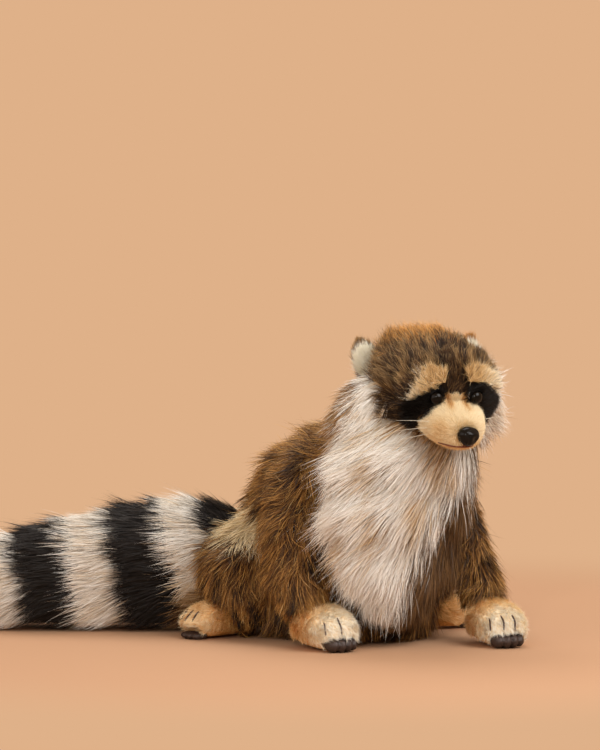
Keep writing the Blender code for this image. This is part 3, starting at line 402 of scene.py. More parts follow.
def growCoat(name, look):
    look = dict(coatDefaults, **look)
    draw = np.random.default_rng(look["seed"])
    skin = skins[name]
    roots, normals = scatter(skin, look["perMm2"], draw)
    seated = (normals[:, 2] < -0.5) & (roots[:, 2] < pressed)
    roots, normals = roots[~seated], normals[~seated]
    keep = inOpenAir(roots, normals, look["reach"])
    if "bare" in look:
        keep &= ~look["bare"](roots)
    roots, normals = roots[keep], normals[keep]
    count = len(roots)

    # which way each strand lies, and how long it is
    flow = look["flow"](roots, normals)
    flow = unit(flow + look["wander"] * swirl(roots, look["swirl"], look["seed"])
                + look["stray"] * draw.normal(size=(count, 3)))
    lying = unit(flow - normals * (flow * normals).sum(1, keepdims=True))
    loose = draw.random(count) < look["loose"]     # fine stray hairs outside the locks
    longish = look["length"] * np.clip(1 + look["vary"] * draw.normal(size=count),
                                       0.35, 1.6) * (1 + 0.22 * loose)
    if "trim" in look:
        longish = longish * look["trim"](roots)
    steps = look["bends"]
    lift = np.clip(look["lift"] * (1 + 0.35 * draw.normal(size=count)), 0.05, 3.0)[:, None]
    path = [roots]
    for k in range(steps):
        part = (k + 0.5) / steps
        way = unit(lying + normals * lift * (1 - part * look["settleDown"]))
        path.append(path[-1] + way * (longish / steps)[:, None])
    path = np.stack(path, axis=1)

    # strands gather into locks round the nearest guide
    guides = max(1, count // look["perLock"])
    finder = kdtree.KDTree(guides)
    for k in range(guides):
        finder.insert(roots[k], k)
    finder.balance()
    found = [finder.find(root) for root in roots]
    nearest = np.array([hit[1] for hit in found])
    loose |= np.array([hit[2] for hit in found]) > look["lockWide"]
    pull = look["lock"] * (np.arange(steps + 1) / steps) ** 1.2
    pull = pull[None, :, None] * (draw.uniform(0.4, 1.1, count) * ~loose)[:, None, None]
    path = path + (path[nearest] - path) * np.clip(pull, 0, 0.97)
    if "clear" in look:
        path = look["clear"](path)
    path[:, :, 2] = np.maximum(path[:, :, 2], 0.0005 + 0.0012 * draw.random((count, 1)))

    # each strand is a narrow ribbon that ends in a point
    facing = unit(normals + look["twist"] * draw.normal(size=(count, 3)))
    half = (look["width"] / 2 * draw.uniform(0.7, 1.25, count) * (1 - 0.35 * loose))[:, None]
    rows = []
    for k in range(steps):
        side = unit(np.cross(path[:, k + 1] - path[:, k], facing)) * half * (1 - 0.75 * k / steps)
        rows += [path[:, k] - side, path[:, k] + side]
    rows.append(path[:, steps])
    points = np.stack(rows, axis=1).reshape(-1, 3)
    perStrand = 2 * steps + 1
    shape = []
    for k in range(steps - 1):
        shape += [(2 * k, 2 * k + 1, 2 * k + 3), (2 * k, 2 * k + 3, 2 * k + 2)]
    shape.append((2 * steps - 2, 2 * steps - 1, 2 * steps))
    shape = np.array(shape)
    faces = (np.arange(count) * perStrand)[:, None, None] + shape[None]

    # map: one column per shade, root at the bottom, tip at the top
    column = shadesOf(look, roots, draw)
    half = 0.36 / shadeColumns
    across, along = [], []
    for k in range(steps):
        across += [column - half, column + half]
        along += [np.full(count, 0.02 + 0.96 * k / steps)] * 2
    across.append(column)
    along.append(np.full(count, 0.98))
    spots = np.stack([np.stack(across, 1), np.stack(along, 1)], axis=2)
    strandMap = spots[:, shape].reshape(-1, 2)

    # the backing takes the root end of the same shades
    backPoints, backFaces = skin[:2]
    middle = backPoints[backFaces].mean(1)
    backColumn = shadesOf(look, middle, draw)
    backMap = np.stack([
        np.stack([backColumn - half, np.full(len(middle), 0.02)], 1),
        np.stack([backColumn + half, np.full(len(middle), 0.02)], 1),
        np.stack([backColumn, np.full(len(middle), 0.16)], 1)], axis=1).reshape(-1, 2)

    allPoints = np.concatenate([backPoints, points])
    allFaces = np.concatenate([backFaces, faces.reshape(-1, 3) + len(backPoints)])
    mesh = bpy.data.meshes.new(name)
    mesh.vertices.add(len(allPoints))
    mesh.vertices.foreach_set("co", allPoints.astype(np.float32).ravel())
    mesh.loops.add(len(allFaces) * 3)
    mesh.loops.foreach_set("vertex_index", allFaces.astype(np.int32).ravel())
    mesh.polygons.add(len(allFaces))
    mesh.polygons.foreach_set("loop_start", np.arange(0, len(allFaces) * 3, 3, dtype=np.int32))
    mesh.update(calc_edges=True)
    mesh.polygons.foreach_set("use_smooth", np.ones(len(allFaces), dtype=bool))
    layer = mesh.uv_layers.new(name="OFBake")
    layer.data.foreach_set("uv", np.concatenate([backMap, strandMap]).astype(np.float32).ravel())
    mesh.materials.append(look["material"])
    place(newPiece(name, mesh), look["slot"], look["nodes"], look["stuffed"])
    print(name, count, "strands,", len(allFaces), "triangles")


# torso

def torsoFlow(roots, normals):
    high = ease(roots[:, 2], 0.06, 0.20)[:, None]
    return rear * (0.35 + 0.75 * high) - up * (1.25 - 0.7 * high)


def rumpCream(tone, roots, draw):
    # cream patch on the rump, between thigh, arm and tail
    rump = np.minimum(
        apart((roots - (-0.085, 0.075, 0.122)) / (0.032, 0.034, 0.020), 0.0),
        apart((roots - (-0.090, 0.038, 0.114)) / (0.022, 0.024, 0.024), 0.0))
    recolour(tone, rump + mixed(0.22, roots, draw) < 1.0, 0.87, 0.99, draw)
    return tone


def brownTone(shades):
    # dark brown in soft streaks with golden guard hairs; lighter and more golden towards the top of
    # the back, painted light shining through the hair there
    def tone(roots, draw):
        top = ease(roots[:, 2], 0.13, 0.22)
        streak = swirl(roots * (1, 1, 0.35), 0.016, shades["seed"])[:, 0]
        made = (shades["base"] + shades["top"] * top + shades["streak"] * streak
                + mixed(shades["mix"], roots, draw))
        made = np.clip(made, 0.02, 0.82)
        golden = shades["golden"] + shades["goldenLitTop"] * top + shades["goldenStreak"] * streak
        sprinkle(made, golden, 0.56, 0.82, draw)
        return rumpCream(made, roots, draw)
    return tone


# the two top shares are painted light, shining through the hair along the top of the back
torsoShades = {"seed": 71, "base": 0.27, "top": 0.16, "streak": 0.12, "mix": 0.12,
               "golden": 0.22, "goldenLitTop": 0.40, "goldenStreak": 0.10}


coats["torsoPile"] = {
    "nodes": ["torso", "torso_filling"], "slot": "brown_pile",
    "material": brownPile, "inset": 0.011,
    "length": 0.029, "perMm2": 0.38, "width": 0.00088, "bends": 3, "lift": 0.45,
    "lock": 0.62, "perLock": 8, "wander": 0.3, "swirl": 0.035, "stuffed": 0.8,
    "flow": torsoFlow, "tone": brownTone(torsoShades), "seed": 11}


# chest bib and cheek tufts

def bibFlow(roots, normals):
    high = ease(roots[:, 2], 0.02, 0.21)[:, None]
    near = ease(-roots[:, 0], -0.085, -0.02)[:, None]
    sweep = photoLeft * (near - 0.30 * (1 - near)) * (0.15 + 0.95 * high)
    return sweep - up * (1.0 - 0.25 * high)


# heights, and how far the white of the bib reaches across the view at each
bibEdge = ((0.040, 0.076, 0.112, 0.152, 0.192), (0.048, 0.062, 0.077, 0.100, 0.125))


def bibTone(roots, draw):
    streak = swirl(roots * (1, 1, 0.45), 0.022, 73)[:, 0]
    tan = ease(streak, 0.3, 1.5)
    middle = ease(roots[:, 2], 0.03, 0.12)
    side = ease(np.abs(roots[:, 0] + 0.012), 0.066, 0.098)
    chin = ease(roots[:, 2], 0.20, 0.24)
    tone = 0.92 - 0.36 * tan * middle - 0.25 * side - 0.30 * chin
    # painted shade: darker and more often streaked towards the bottom, above the floor
    low = 1 - ease(roots[:, 2], 0.012, 0.055)
    tone = np.clip(tone - 0.45 * low + mixed(0.09, roots, draw), 0.05, 0.99)
    streaked = 0.06 + 0.22 * tan * middle + 0.30 * low
    sprinkle(tone, streaked, 0.12, 0.45, draw)
    # painted shadow darkens the pile along the bottom, and the brown of the far leg runs in under
    # its lower far side
    farEdge = np.interp(roots[:, 2], *bibEdge)
    ragged = mixed(0.006, roots, draw)
    shadowAndFarLeg = (roots[:, 2] < 0.024 + ragged) | (roots @ -photoLeft > farEdge + ragged)
    recolour(tone, shadowAndFarLeg, 0.0, 0.14, draw)
    return tone


def bibTrim(roots):
    # clipped so that it clears the floor
    return 0.28 + 0.72 * ease(roots[:, 2], 0.020, 0.085)


coats["bibPile"] = {
    "nodes": ["chest_bib"], "slot": "white_pile", "material": whitePile,
    "inset": 0.009,
    "length": 0.038, "perMm2": 0.79, "width": 0.00072, "bends": 3, "lift": 0.36,
    "lock": 0.5, "perLock": 9, "wander": 0.18, "swirl": 0.035, "stray": 0.16, "stuffed": 0.7,
    "flow": bibFlow, "tone": bibTone, "trim": bibTrim, "seed": 12}


def cheekFlow(roots, normals):
    near = (roots[:, 0] < 0.0)[:, None]
    return np.where(near, photoLeft * 0.80 - up * 0.75,
                    np.array((0.62, 0.45, 0.0)) - up * 0.35)


def cheekTone(roots, draw):
    streak = swirl(roots, 0.02, 74)[:, 0]
    tone = 0.84 - 0.25 * ease(streak, 0.7, 1.7) + mixed(0.10, roots, draw)
    # brown where the tuft meets the shoulder, on its outer rear edge
    nearRear = ease(roots @ photoLeft + 0.4 * (roots[:, 2] - 0.235), -0.018, 0.004)
    farRear = ease(roots[:, 1], -0.148, -0.122)
    sprinkle(tone, 0.85 * np.where(roots[:, 0] < 0.0, nearRear, farRear), 0.08, 0.34, draw)
    return np.clip(tone, 0.05, 0.99)


def cheekTrim(roots):
    near = roots[:, 0] < 0.0
    return np.where(near, 0.72 + 0.15 * ease(0.25 - roots[:, 2], 0.0, 0.05), 0.86)


coats["cheekPile"] = {
    "nodes": ["cheek_tuft_right", "cheek_tuft_left"], "slot": "white_pile",
    "material": whitePile, "inset": 0.0075,
    "length": 0.029, "perMm2": 0.95, "width": 0.00068, "bends": 3, "lift": 0.45,
    "lock": 0.5, "perLock": 9, "wander": 0.2, "swirl": 0.025, "stray": 0.16, "stuffed": 0.6,
    "flow": cheekFlow, "tone": cheekTone, "trim": cheekTrim, "seed": 13}


# head

noseCentre = nodeCentre("nose")
headCentre = nodeCentre("head")
eyeLook = {"radius": 0.0068, "rise": 0.0054, "stem": 0.0020, "stemEnd": -0.0078,
           "washer": 0.0050, "hole": 0.0022, "washerTop": -0.0060, "washerEnd": -0.0074}


def eyeSeat(name):
    # where the flat rim of the eye lies, and the way that it looks
    middle = nodeCentre("eye_" + name)
    axis = unit(middle - nodeCentre("eye_washer_" + name))
    front = max(np.array(v.co) @ axis for v in nodes["eye_" + name].data.vertices)
    return middle + axis * (front - eyeLook["rise"] - middle @ axis), axis


eyeSeats = {"right": eyeSeat("right"), "left": eyeSeat("left")}
eyes = [seat for seat, axis in eyeSeats.values()]
headSide = unit(eyes[1] - eyes[0])
headAhead = unit(np.cross(headSide, up))
headAhead = headAhead if headAhead[1] < 0 else -headAhead
headUp = unit(np.cross(headAhead, headSide))
headUp = headUp if headUp[2] > 0 else -headUp


def backFromNose(roots, normals):
    return unit(roots - noseCentre)


def headFlow(roots, normals):
    low = ease(headCentre[2] - roots[:, 2], 0.0, 0.05)[:, None]
    return backFromNose(roots, normals) - up * 0.35 * low + up * 0.15 * (1 - low)


maskTree = meshTree("mask_patch_right", "mask_patch_left")


def headTone(roots, draw):
    local = roots - headCentre
    crown = ease(local[:, 2] - 0.35 * (local @ headAhead), 0.024, 0.052)
    under = ease(headCentre[2] - roots[:, 2], 0.022, 0.042)
    streak = swirl(roots * (1, 1, 0.6), 0.012, 75)[:, 0]
    tone = 0.26 + 0.12 * streak + mixed(0.11, roots, draw)
    tone = np.clip(tone, 0.02, 0.68)
    stripe = np.exp(-((local @ headSide) / 0.010) ** 2)
    light = (0.29 + 0.14 * streak) * (1 - 0.7 * stripe)
    sprinkle(tone, light, 0.5, 0.72, draw)
    # painted light: orange-gold hairs on the crown stand for light shining through the hair there,
    # fewer further back
    behind = ease(-(local @ headAhead), 0.0, 0.04)
    sprinkle(tone, (0.85 - 0.4 * behind) * crown, 0.76, 0.99, draw)
    sprinkle(tone, 0.6 * under, 0.45, 0.74, draw)
    # black hairs of the mask run out into the brown round it
    far = np.array([maskTree.find_nearest(Vector(root))[3] for root in roots])
    blackish = draw.random(len(roots)) < 0.85 * (1 - ease(far, 0.001, 0.011))
    recolour(tone, blackish & (roots @ -photoLeft < 0.075), 0.0, 0.10, draw)
    recolour(tone, fromEyes(roots) < eyeLook["radius"] + 0.0045, 0.0, 0.06, draw)
    return tone


def fromEyes(roots):
    # how far each root is from the axis of the nearer eye
    far = []
    for seat, axis in eyeSeats.values():
        away = roots - seat
        along = away @ axis
        side = apart(away, along[:, None] * axis)
        far.append(np.where(np.abs(along) < 0.02, side, 1.0))
    return np.minimum(far[0], far[1])


def nearEyes(roots):
    return fromEyes(roots) < eyeLook["radius"] - 0.0006


def clearOfEyes(path):
    # hair that would lie over a glass eye is pushed out to its rim
    rim = eyeLook["radius"] - 0.0005
    for seat, axis in eyeSeats.values():
        away = path - seat
        far = np.linalg.norm(away, axis=2, keepdims=True)
        path = np.where(far < rim, seat + away / np.maximum(far, 1e-6) * rim, path)
    return path


farTemple = (0.048, -0.143, 0.304)


def headFill(points):
    # fuller crown beside the near ear and bridge of the nose, flatter below the far ear
    crown = apart(points, (-0.020, -0.110, 0.297))
    farSide = apart(points, farTemple)
    bridge = apart(points, noseCentre - headAhead * 0.026 + headUp * 0.030)
    return (0.007 * (1 - ease(crown, 0.004, 0.030)) - 0.010 * (1 - ease(farSide, 0.010, 0.040))
            + 0.008 * (1 - ease(bridge, 0.006, 0.018)))


def headTrim(roots):
    # clipped short on the face and round the far ear, longer on the crown and behind
    ahead = (roots - headCentre) @ headAhead
    trim = 1.35 - 0.70 * ease(ahead, -0.005, 0.045)
    farEar = np.minimum(apart(roots, nodeCentre("ear_left") + (0.0, 0.0, 0.018)),
                        apart(roots, farTemple))
    nearEar = apart(roots, nodeCentre("ear_lining_right"))
    return (trim * (0.32 + 0.68 * ease(farEar, 0.014, 0.034))
            * (0.45 + 0.55 * ease(nearEar, 0.010, 0.028)))


coats["headPile"] = {
    "nodes": ["head"], "slot": "head_pile", "material": headPile,
    "inset": 0.0045,
    "length": 0.0138, "perMm2": 1.23, "width": 0.00052, "bends": 2, "lift": 0.7,
    "lock": 0.45, "perLock": 7, "wander": 0.3, "swirl": 0.02, "stuffed": 0.9,
    "fill": headFill, "trim": headTrim, "bare": nearEyes, "clear": clearOfEyes,
    "flow": headFlow, "tone": headTone, "seed": 14}


def evenTone(low, high):
    # any shade between the two
    return lambda roots, draw: draw.uniform(low, high, len(roots))


patchLook = {
    # flat patches sewn on the face, sheared short
    "even": 0, "inset": 0.0008, "settle": 0, "width": 0.0005, "bends": 1, "stuffed": 0.9,
    "bare": nearEyes, "clear": clearOfEyes, "flow": backFromNose}
coats["maskPile"] = dict(
    patchLook, nodes=["mask_patch_right", "mask_patch_left"], slot="black_pile",
    material=blackPile, round=2, length=0.0064, perMm2=3.2, lift=1.3,
    lock=0.3, perLock=6, wander=0.2, tone=evenTone(0.0, 0.75), seed=15)


def browTone(roots, draw):
    outer = ease(np.abs((roots - headCentre) @ headSide), 0.02, 0.05)
    tone = np.clip(0.45 + 0.45 * outer + mixed(0.13, roots, draw), 0.16, 0.99)
    # a few hairs of the forehead among the pale ones
    sprinkle(tone, 0.10, 0.02, 0.12, draw)
    return tone


coats["browPile"] = dict(
    patchLook, nodes=["brow_patch_right", "brow_patch_left"], slot="cream_pile",
    material=creamPile, round=1, length=0.0088, perMm2=3.0, lift=0.7,
    vary=0.4, lock=0.45, perLock=8, wander=0.35, swirl=0.012, tone=browTone, seed=16)

# the line of the mouth, sewn under the nose and out on both cheeks
mouthLook = {"near": 0.035, "far": 0.010, "drop": 0.0122, "smile": 0.0120, "thread": 0.0016,
             "lip": 0.0075, "proud": 0.0014, "lipProud": 0.0004}


def laidOn(tree, starts, ways, lift):
    # where a thread meets the surface, seen from each start along its way
    found = []
    for start, way in zip(starts, ways):
        spot, facing = tree.ray_cast(Vector(start), Vector(way), 0.3)[:2]
        if spot is not None:
            found.append(np.array(spot) + np.array(facing) * lift)
    return found


muzzleTree = meshTree("muzzle")
beforeNose = noseCentre + headAhead * 0.06
mouthStarts, lipStarts = [], []
for k in range(13):
    across = -mouthLook["near"] + (mouthLook["near"] + mouthLook["far"]) * k / 12
    rise = mouthLook["smile"] * (abs(across) / mouthLook["near"]) ** 2
    mouthStarts.append(beforeNose + headSide * across - headUp * (mouthLook["drop"] - rise))
for k in range(5):
    drop = mouthLook["lip"] + (mouthLook["drop"] - mouthLook["lip"]) * k / 4
    lipStarts.append(beforeNose - headUp * drop)
mouthPoints = laidOn(muzzleTree, mouthStarts, [-headAhead] * 13, mouthLook["proud"])
lipPoints = laidOn(muzzleTree, lipStarts, [-headAhead] * 5, mouthLook["lipProud"])
stitches = {"muzzle": [mouthPoints, lipPoints]}


def nearLine(roots, lines, wide):
    close = np.zeros(len(roots), dtype=bool)
    for line in lines:
        for a, b in zip(line[:-1], line[1:]):
            run = b - a
            part = np.clip(((roots - a) @ run) / max(run @ run, 1e-12), 0, 1)
            close |= apart(roots, a + part[:, None] * run) < wide
    return close


# outlines on the face, as places across the view and the heights in the view there
browSlant = ((0.0600, 0.0670, 0.0760, 0.0860), (0.227, 0.246, 0.260, 0.268))
maskTop = ((0.059, 0.0745, 0.087, 0.1026, 0.112, 0.1236, 0.133, 0.1446, 0.1536),
           (0.2300, 0.2380, 0.2455, 0.2465, 0.30, 0.2530, 0.2530, 0.2450, 0.2345))
maskOuter = 0.0575
# heights, and where the black beside the bridge ends at each, near side and far side
nearBlack = ((0.226, 0.235, 0.244, 0.252, 0.259), (0.068, 0.082, 0.091, 0.0975, 0.101))
farBlack = ((0.232, 0.248, 0.259), (0.141, 0.133, 0.122))


def besideMask(points):
    return points @ -photoLeft < maskOuter


def outsideBrow(points):
    # the near brow patch is cut on a slant, from the eye's outer corner up to the forehead
    spot, high = points @ -photoLeft, points @ photoUp
    slant = np.interp(spot, *browSlant)
    return (spot < maskOuter) | ((spot < browSlant[0][-1] + 0.002) & (high > slant))


def aboveMask(points):
    # the brow patch comes down to just above the eye
    return points @ photoUp > np.interp(points @ -photoLeft, *maskTop)


def onBridge(points):
    local = points - noseCentre
    high = local @ headUp
    return ((np.abs(local @ headSide - 0.001) < 0.0105) & (high > 0.022) & (high < 0.036)
            & (local @ headAhead > -0.05))


def muzzleTone(roots, draw):
    local = roots - noseCentre
    across = np.abs(local @ headSide - 0.002)
    high = local @ headUp
    back = -(local @ headAhead)
    # painted light: paler up the bridge, against the shade that falls there behind the top of the
    # muzzle
    tone = 0.88 + mixed(0.08, roots, draw) + 0.08 * ease(back, 0.02, 0.03)
    beside = np.exp(-((across - 0.0082) / 0.0030) ** 2) * ease(high, 0.011, 0.019)
    lower = ease(-high, -0.002, 0.016)
    cheek = np.hypot(roots @ -photoLeft - 0.095, roots @ photoUp - 0.207)
    tone -= (0.60 * beside * ease(back, 0.0, 0.012) + 0.28 * lower
             + 0.26 * np.exp(-(cheek / 0.009) ** 2))
    tone = np.clip(tone, 0.16, 0.99)
    # the black of the mask runs down on both sides of the bridge
    spot = roots @ -photoLeft + mixed(0.0009, roots, draw)
    outside = ((spot < np.interp(roots[:, 2], *nearBlack))
               | (spot > np.interp(roots[:, 2], *farBlack)))
    tone[outside & (roots[:, 2] > nearBlack[0][0])] = 0.02
    return tone


coats["muzzlePile"] = {
    "nodes": ["muzzle"], "slot": "muzzle_pile", "material": muzzlePile,
    "weld": 0.003, "even": 3, "inset": 0.0016, "settle": 1,
    "length": 0.0045, "perMm2": 4.6, "width": 0.00042, "bends": 1, "lift": 0.8,
    "lock": 0.25, "perLock": 6, "wander": 0.12, "swirl": 0.015, "stuffed": 0.95,
    "bare": lambda roots: nearEyes(roots) | nearLine(roots, [mouthPoints, lipPoints], 0.0022),
    "flow": backFromNose, "tone": muzzleTone, "seed": 17}


def earFlow(roots, normals):
    return up + 0.2 * rear + np.zeros_like(roots)


def earTone(roots, draw):
    # dark with pale-tipped hairs, rust brown towards the tip and most on the far ear
    tone = draw.uniform(0.1, 0.6, len(roots))
    tone[draw.random(len(roots)) < 0.35] = 0.66
    rust = 0.9 * ease(roots[:, 2], 0.280, 0.298) * (roots[:, 0] > 0.02) + 0.1
    sprinkle(tone, rust, 0.74, 0.84, draw)
    return tone


coats["earPile"] = {
    "nodes": ["ear_right", "ear_left"], "slot": "head_pile", "material": headPile,
    "weld": 0.0028, "even": 3, "inset": 0.0012, "settle": 1,
    "length": 0.0062, "perMm2": 2.2, "width": 0.0006, "bends": 1, "lift": 0.45,
    "lock": 0.3, "perLock": 6, "wander": 0.2, "stuffed": 0.5,
    "flow": earFlow, "tone": earTone, "seed": 18}
coats["earLiningPile"] = {
    "nodes": ["ear_lining_right", "ear_lining_left"], "slot": "lining_pile",
    "material": liningPile, "round": 1, "even": 0, "inset": 0.0003, "settle": 0,
    "length": 0.0095, "perMm2": 3.2, "width": 0.00048, "bends": 1, "lift": 0.5,
    "lock": 0.3, "perLock": 6, "wander": 0.15, "stuffed": 0.5,
    "flow": earFlow, "tone": evenTone(0.3, 0.99), "seed": 19}


# legs and paws

def legFlow(roots, normals):
    high = ease(roots[:, 2], 0.05, 0.17)[:, None]
    return rear * (0.12 + 0.5 * high) - up * (1.0 - 0.2 * high)


def legTrim(roots):
    # clipped short where the leg meets its paw
    return 0.45 + 0.55 * ease(roots[:, 2], 0.035, 0.075)


legShades = {"seed": 76, "base": 0.36, "top": 0.0, "streak": 0.13, "mix": 0.13,
             "golden": 0.29, "goldenLitTop": 0.0, "goldenStreak": 0.14}


legLook = {
    "slot": "brown_pile", "material": brownPile,
    "length": 0.024, "width": 0.0008, "bends": 3, "lift": 0.42,
    "lock": 0.6, "perLock": 8, "wander": 0.28, "stuffed": 0.8,
    "flow": legFlow, "tone": brownTone(legShades), "trim": legTrim}
for name, inset, perMm2, seed in (("front", 0.0075, 0.58, 20), ("hind", 0.0085, 0.52, 21)):
    coats[name + "LegPile"] = dict(legLook, nodes=[name + "_leg_right", name + "_leg_left"],
                                   inset=inset, perMm2=perMm2, seed=seed)

paws = {
    # heading in degrees from +X, toe seams across the width, as in the sewn paw
    "front_paw_right": {"heading": -93.0, "seams": (-0.36, -0.08), "wide": 0.052, "long": 0.082},
    "front_paw_left": {"heading": -104.0, "seams": (-0.36, -0.13, 0.10), "wide": 0.052,
                       "long": 0.082},
    "hind_paw_right": {"heading": 178.0, "seams": (-0.22, 0.0, 0.22), "wide": 0.046,
                       "long": 0.078},
    "hind_paw_left": {"heading": -12.0, "seams": (-0.22, 0.0, 0.22), "wide": 0.046,
                      "long": 0.078},
}
toeLook = {"top": 62.0, "step": 7.0, "sunk": 0.0004, "thread": 0.0017, "dimple": 0.0027}
for name, paw in paws.items():
    turn = math.radians(paw["heading"])
    paw["ahead"] = np.array((math.cos(turn), math.sin(turn), 0.0))
    paw["across"] = np.array((-math.sin(turn), math.cos(turn), 0.0))
    points = np.array([v.co for v in nodes[name].data.vertices])
    ahead, across = points @ paw["ahead"], points @ paw["across"]
    paw["middle"] = (paw["ahead"] * (ahead.max() - paw["long"] / 2)
                     + paw["across"] * (across.max() + across.min()) / 2)
    tree = meshTree(name)
    heart = paw["middle"] + paw["ahead"] * paw["long"] * 0.26 + up * 0.017
    ways = []
    for k in range(9):
        # the thread runs from the top of the foot down over the toes
        angle = math.radians(toeLook["top"] - toeLook["step"] * k)
        ways.append(paw["ahead"] * math.cos(angle) + up * math.sin(angle))
    stitches[name] = [
        laidOn(tree, [heart + way * 0.09 + paw["across"] * seam * paw["wide"] for way in ways],
               [-way for way in ways], -toeLook["sunk"])
        for seam in paw["seams"]]


def pawOf(roots):
    # the nearest paw of each root
    far = np.stack([apart(roots[:, :2], paw["middle"][:2]) for paw in paws.values()], axis=1)
    return far.argmin(1)


def pawFlow(roots, normals):
    ways = np.stack([paw["ahead"] for paw in paws.values()])
    return ways[pawOf(roots)] - 0.25 * up


def pawTone(roots, draw):
    ways = np.stack([paw["ahead"] for paw in paws.values()])
    middles = np.stack([paw["middle"] for paw in paws.values()])
    which = pawOf(roots)
    front = ((roots - middles[which]) * ways[which]).sum(1)
    hind = np.isin(which, [k for k, name in enumerate(paws) if name.startswith("hind")])
    # cream towards the toes and honey towards the heel, the honey partly the plush's colour and
    # partly painted shade; painted shade also darkens the hind paws and the pile low by the floor
    tone = (0.38 + 0.54 * ease(front, -0.020, 0.030) - 0.30 * hind
            + mixed(0.10, roots, draw))
    return np.clip(tone - 0.15 * ease(0.012 - roots[:, 2], 0.0, 0.012), 0.1, 0.99)


coats["pawPile"] = {
    "nodes": list(paws), "slot": "cream_pile", "material": pawPile,
    "weld": 0.003, "even": 3, "inset": 0.0026, "settle": 1,
    "length": 0.0064, "perMm2": 2.0, "width": 0.00055, "bends": 1, "lift": 0.9,
    "lock": 0.42, "perLock": 8, "wander": 0.35, "swirl": 0.012, "stuffed": 0.9,
    "bare": lambda roots: nearLine(
        roots, [line for paw in paws for line in stitches[paw]], toeLook["dimple"]),
    "flow": pawFlow, "tone": pawTone, "seed": 22}


# tail

tailRoot, tailLong = np.array((-0.038, 0.096, 0.0)), 0.375


def alongTail(points):
    # 0 at the rump, 1 at the tip
    return (points - tailRoot) @ tailWay / tailLong


def tailFlow(roots, normals):
    under = ease(0.07 - roots[:, 2], 0.0, 0.06)[:, None]
    return tailWay - up * (0.10 + 0.55 * under) + normals * 0.1


def tailTone(roots, draw):
    grey = swirl(roots, 0.02, 77)[:, 0]
    # painted shade: the first cream ring darkens to brown low down, beside the thigh, where the
    # underside of the tail lies in shadow
    spot = alongTail(roots)
    brown = (1 - ease(roots[:, 2], 0.010, 0.078)) * (1 - ease(spot, 0.16, 0.36))
    return np.clip(0.80 - 0.66 * brown + 0.08 * grey + mixed(0.09, roots, draw),
                   0.08, 0.99)


def tailTrim(roots):
    # shorter at the rump and at the tip
    spot = alongTail(roots)
    return (0.62 + 0.38 * ease(spot, 0.0, 0.16)) * (1 - 0.45 * ease(spot, 0.80, 1.0))


def tailFill(points):
    # flat where it rests on the floor, full along its ridge
    return (0.007 * (1 - ease(points[:, 2], 0.012, 0.045))
            + 0.009 * ease(points[:, 2], 0.070, 0.104))


tailLook = {
    "inset": 0.008, "trim": tailTrim, "fill": tailFill,
    "overlap": lambda points: 0.014 + 0.15 * np.clip(0.125 - points[:, 2], 0.0, 0.125),
    "length": 0.029, "perMm2": 0.54, "width": 0.0008, "bends": 2, "lift": 0.34,
    "lock": 0.45, "perLock": 8, "wander": 0.12, "swirl": 0.03, "stray": 0.16,
    "stuffed": 0.7, "flow": tailFlow}
creamRings = ["tail_band_cream_%d" % k for k in (1, 2, 3, 4)]
blackRings = ["tail_band_black_%d" % k for k in (1, 2, 3)] + ["tail_tip_black"]
coats["tailCreamPile"] = dict(tailLook, nodes=creamRings, slot="cream_pile",
                              material=whitePile, tone=tailTone, seed=23)
coats["tailBlackPile"] = dict(tailLook, nodes=blackRings, slot="black_pile",
                              material=blackPile, tone=evenTone(0.0, 0.9), seed=24)

print("coats planned:", len(coats))

longHaired = ["torsoPile", "bibPile", "cheekPile", "headPile", "frontLegPile", "hindLegPile",
              "tailCreamPile", "tailBlackPile"]
jointSkins(longHaired, 0.0055)
for name, look in coats.items():
    if name not in longHaired:
        skins[name] = takeSkin(look)


# the pocket of the nose is filled up to its rim
points, faces, normals = skins["muzzlePile"]
pocket = 1 - ease(apart(points, noseCentre - headAhead * 0.004), 0.007, 0.017)
skins["muzzlePile"] = (points + 0.0045 * pocket[:, None] * headAhead, faces, normals)


def handOver(giver, taker, chosen):
    # that part of one skin is sewn on to the next and grows its pile
    points, faces, normals = skins[giver]
    given = chosen(points[faces].mean(1))
    used, renumbered = np.unique(faces[given], return_inverse=True)
    otherPoints, otherFaces, otherNormals = skins[taker]
    skins[taker] = (np.concatenate([otherPoints, points[used]]),
                    np.concatenate([otherFaces, renumbered.reshape(-1, 3) + len(otherPoints)]),
                    np.concatenate([otherNormals, normals[used]]))
    skins[giver] = (points, faces[~given], normals)


handOver("maskPile", "headPile", besideMask)      # grizzled hair behind the mask
handOver("maskPile", "browPile", aboveMask)
handOver("browPile", "headPile", outsideBrow)
handOver("headPile", "muzzlePile", onBridge)      # the muzzle runs up between the eyes

every, offset = ([], []), 0
for points, faces, normals in skins.values():
    every[0].extend(points.tolist())
    every[1].extend((faces + offset).tolist())
    offset += len(points)
allSkins = BVHTree.FromPolygons(every[0], every[1])
print("skins ready:", len(skins))

for name, look in coats.items():
    growCoat(name, look)


# eyes, nose, threads, pads

def glossMaterial(name, low, high, rough, shine):
    # Injection-moulded acrylic, dyed nearly black, with a faint brown cloud of about 7 mm in it.
    made, tree, shader = newMaterial(name)
    coords = add(tree, "ShaderNodeTexCoord")
    cloud = add(tree, "ShaderNodeTexNoise", {"Scale": 140.0, "Detail": 2.0},
                {"Vector": coords.outputs["Object"]})
    ramp = add(tree, "ShaderNodeValToRGB", {"stops": [(0.35, low), (0.7, high)]},
               {"Fac": cloud.outputs[0]})
    tree.links.new(ramp.outputs[0], shader.inputs["Base Color"])
    shader.inputs["Roughness"].default_value = rough
    shader.inputs["IOR"].default_value = 1.49
    shader.inputs["Specular IOR Level"].default_value = shine
    return made


# the eyes are polished and take one small sharp light, the nose is satin and takes a wide one
eyeAcrylic = glossMaterial("polished_acrylic_eye", "#010101", "#040303", 0.05, 0.22)
noseAcrylic = glossMaterial("moulded_acrylic_nose", "#040404", "#0D0C0C", 0.2, 0.22)


